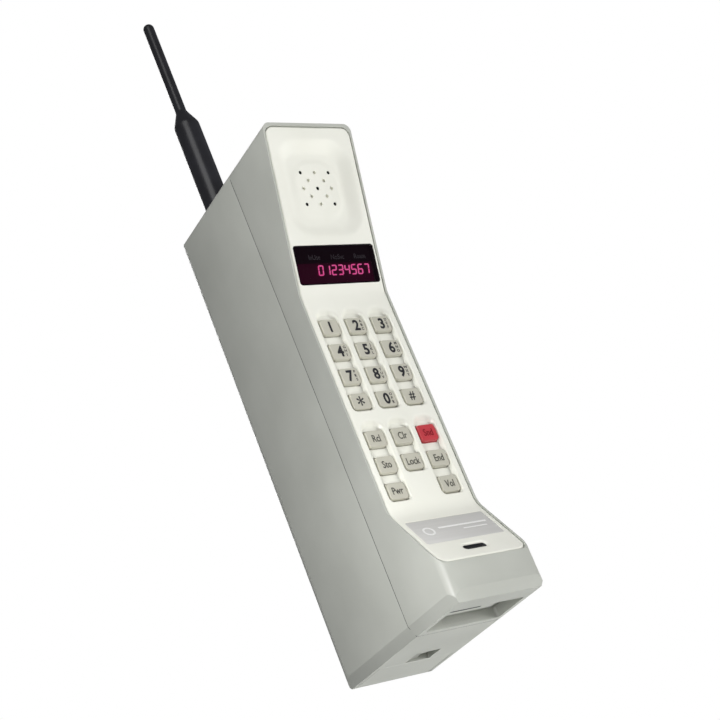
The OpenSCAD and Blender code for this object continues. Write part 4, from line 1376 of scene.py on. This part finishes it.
@dataclass
class Antenna:
    """The rubber-covered rod: thick sleeve, cone, thin rod with a round tip, and its mould seam."""

    axis_x: float = -7.3
    axis_y: float = 25.45
    sleeve_r: float = 6.0
    rod_r: float = 2.6
    low: float = 215.2
    high: float = 330.2
    rod_len: float = 53.0
    cone_len: float = 7.6
    foot_r: float = 4.0
    foot_up: float = 8.0
    groove: float = 0.25
    groove_up: float = 3.0
    seam_w: float = 0.5
    steps: int = 56

    @property
    def cone_low(self) -> float:
        """Height where the cone starts, in millimetres."""
        return self.high - self.rod_len - self.cone_len

    def outline(self) -> list[tuple[float, float]]:
        """Radius and height of the rod's outline, from its foot to its tip, in millimetres."""
        rod, cone = self.high - self.rod_len, self.cone_low
        r, thin, in_r, up = self.sleeve_r, self.rod_r, self.sleeve_r - self.groove, self.low + self.groove_up
        line = [(self.foot_r, self.low), (r - 0.6, self.low), (r - 0.15, self.low + 0.25),
                (r, self.low + 0.7), (r, up), (in_r, up + 0.25), (in_r, up + 0.65), (r, up + 0.9),
                (r, cone - 1.2), (r - 0.06, cone - 0.4), (in_r, cone + 0.4), (thin + 0.35, rod - 0.6),
                (thin + 0.1, rod + 0.1), (thin, rod + 0.9), (thin, self.high - thin)]
        for i in range(1, 9):
            turn = math.radians(90 * i / 8)
            line.append((thin * math.cos(turn), self.high - thin + thin * math.sin(turn)))
        return line

    def build(self) -> None:
        """Builds the rod and the seal under it."""
        bm = bmesh.new()
        outside = [bm.verts.new(Vector((max(r, 0.0), 0, z)) * MM) for r, z in self.outline()]
        bore = [bm.verts.new(Vector((r, 0, self.low + self.foot_up)) * MM) for r in (0, self.foot_r)]
        edges = [bm.edges.new(pair) for pair in zip(outside, outside[1:])]
        edges += [bm.edges.new(bore), bm.edges.new((bore[1], outside[0]))]
        bmesh.ops.spin(bm, geom=outside + bore + edges, cent=(0, 0, 0), axis=(0, 0, 1), angle=math.tau,
                       steps=self.steps, use_merge=True)
        bmesh.ops.remove_doubles(bm, verts=bm.verts, dist=0.001 * MM)
        r, low, high = self.sleeve_r, self.low + self.groove_up + 1.4, self.cone_low - 1.5
        for turn in (12, 192):
            block(bm, (r - 0.24, -self.seam_w / 2, low), (r, self.seam_w / 2, high),
                  Matrix.Rotation(math.radians(turn), 4, "Z"))
        bm.transform(shift(self.axis_x, self.axis_y, 0))
        settle(bm, "antenna_rod", [ANTENNA_RUBBER], "antenna", ("antenna_sleeve",), 32)
        seal = settle(copied("antenna_seal"), "antenna_washer", [BLACK_RUBBER], "antenna_ring",
                      ("antenna_seal",), turn=False)
        soften(seal, 0.3, angle=40)


# ---- Battery and latch ----

@dataclass
class BatteryPack:
    """The pack's case and cover, and the latch that holds it."""

    edge: float = 0.35
    latch_edge: float = 0.2

    def build(self) -> None:
        """Builds the pack's two mouldings and the latch."""
        for node, name, body, finish, slot in (
                ("battery_case", "pack_case", "battery", REAR, "shell"),
                ("battery_cover", "pack_cover", "battery", REAR, "shell"),
                ("battery_latch", "pack_latch", "latch", LATCH, "latch")):
            made = settle(copied(node), name, [finish], body, (node,), turn=False)
            soften(made, self.latch_edge if body == "latch" else self.edge)


# ---- Carried-over parts ----

def dress_frame() -> None:
    """Gives every CAD node that stays its finish, by its material slot."""
    special = {"keypad_mat": MAT_RUBBER, "flat_cable": FLEX}
    for name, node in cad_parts.items():
        if node.hide_render:
            continue
        for place in node.material_slots:
            finish = special.get(name) or SLOT_FINISH[place.material.name.split(".")[0]]
            place.material = finish.material()
        log.info("%s: carried over", name)


# ---- Studio ----

@dataclass
class Studio:
    """A plain pale floor, soft lights, a white surround and the camera."""

    floor_z: float = -0.8
    floor_size: float = 12.0
    ambient: float = 0.09
    mirrored: float = 0.12
    camera_at: Triple = (-0.37522, -0.47919, -0.13867)
    camera_turn: Triple = (114.846, 20.623, -29.823)
    focal: float = 79.606
    lights: tuple[Lamp, ...] = (
        ("front_light", (1.23, -0.86, -0.15), (0.0, 0.0, 0.10), 0.9, 20.0),
        ("fill_light", (-0.78, -0.98, 0.90), (0.0, 0.0, 0.15), 1.0, 5.0),
        ("low_side_light", (-0.143, -0.097, 0.002), (0.0, -0.03, 0.03), 0.07, 0.19),
        ("high_side_light", (-0.171, -0.110, 0.235), (0.0, -0.03, 0.20), 0.07, 0.15),
        ("base_light", (0.30, 0.10, -0.74), (0.0, 0.0, 0.0), 0.4, 6.2),
        ("rear_light", (0.55, 1.30, 0.90), (0.0, 0.0, 0.12), 0.9, 9.0),
    )

    def camera(self) -> None:
        """Makes the camera."""
        data = bpy.data.cameras.new("camera")
        data.lens, data.sensor_width = self.focal, 36.0
        data.clip_start, data.clip_end = 0.01, 4 * self.floor_size
        made = bpy.data.objects.new("camera", data)
        made.location = self.camera_at
        made.rotation_euler = [math.radians(a) for a in self.camera_turn]
        bpy.context.scene.collection.objects.link(made)
        bpy.context.scene.camera = made

    def surround(self) -> None:
        """Makes the white surround, dimmer as a light than it looks."""
        world = bpy.data.worlds.new("surround")
        bpy.context.scene.world = world
        world.use_nodes = True
        tree = world.node_tree
        tree.nodes.clear()
        ray = add(tree, "LightPath").outputs
        light, dim, white = (
            add(tree, "Background", {"Color": srgb(colour), "Strength": strength}).outputs[0]
            for colour, strength in (
                ("#f6f8ff", self.ambient), ("#f6f8ff", self.mirrored), ("#ffffff", 1.0)))
        unseen = add(tree, "MixShader", {0: ray["Is Glossy Ray"], 1: light, 2: dim})
        both = add(tree, "MixShader", {0: ray["Is Camera Ray"], 1: unseen.outputs[0], 2: white})
        add(tree, "OutputWorld", {"Surface": both.outputs[0]})

    def floor(self) -> None:
        """Makes the floor."""
        bm = bmesh.new()
        bmesh.ops.create_grid(bm, x_segments=2, y_segments=2, size=self.floor_size / 2,
                              matrix=Matrix.Translation((0, 0, self.floor_z)))
        mesh = bpy.data.meshes.new("floor")
        bm.to_mesh(mesh)
        bm.free()
        mesh.materials.append(PAPER.material())
        made = as_object(mesh, "floor")
        made.visible_diffuse = made.visible_glossy = False

    def lamps(self) -> None:
        """Makes the soft lights, each turned toward the phone."""
        for name, at, target, size, power in self.lights:
            data = bpy.data.lights.new(name, "AREA")
            data.shape, data.size, data.energy = "DISK", size, power
            made = bpy.data.objects.new(name, data)
            made.location = at
            made.rotation_euler = (Vector(target) - Vector(at)).to_track_quat("-Z", "Y").to_euler()
            made.visible_camera = False
            made.visible_glossy = name != "front_light"
            bpy.context.scene.collection.objects.link(made)

    def build(self) -> None:
        """Sets up the whole studio."""
        self.camera()
        self.surround()
        self.floor()
        self.lamps()
        view = bpy.context.scene.view_settings
        view.view_transform, view.look = "Standard", "None"


def main() -> None:
    """Builds the phone's visible pieces in order, then the studio."""
    logging.basicConfig(level=logging.INFO, format="%(message)s")
    for part in (Shells(), SeamShadeStrip(), Fascia(), Keypad(), Display(), Nameplate(), MicNoseShade(), Antenna(),
                 BatteryPack()):
        part.build()
    dress_frame()
    Studio().build()


if __name__ == "__main__":
    main()
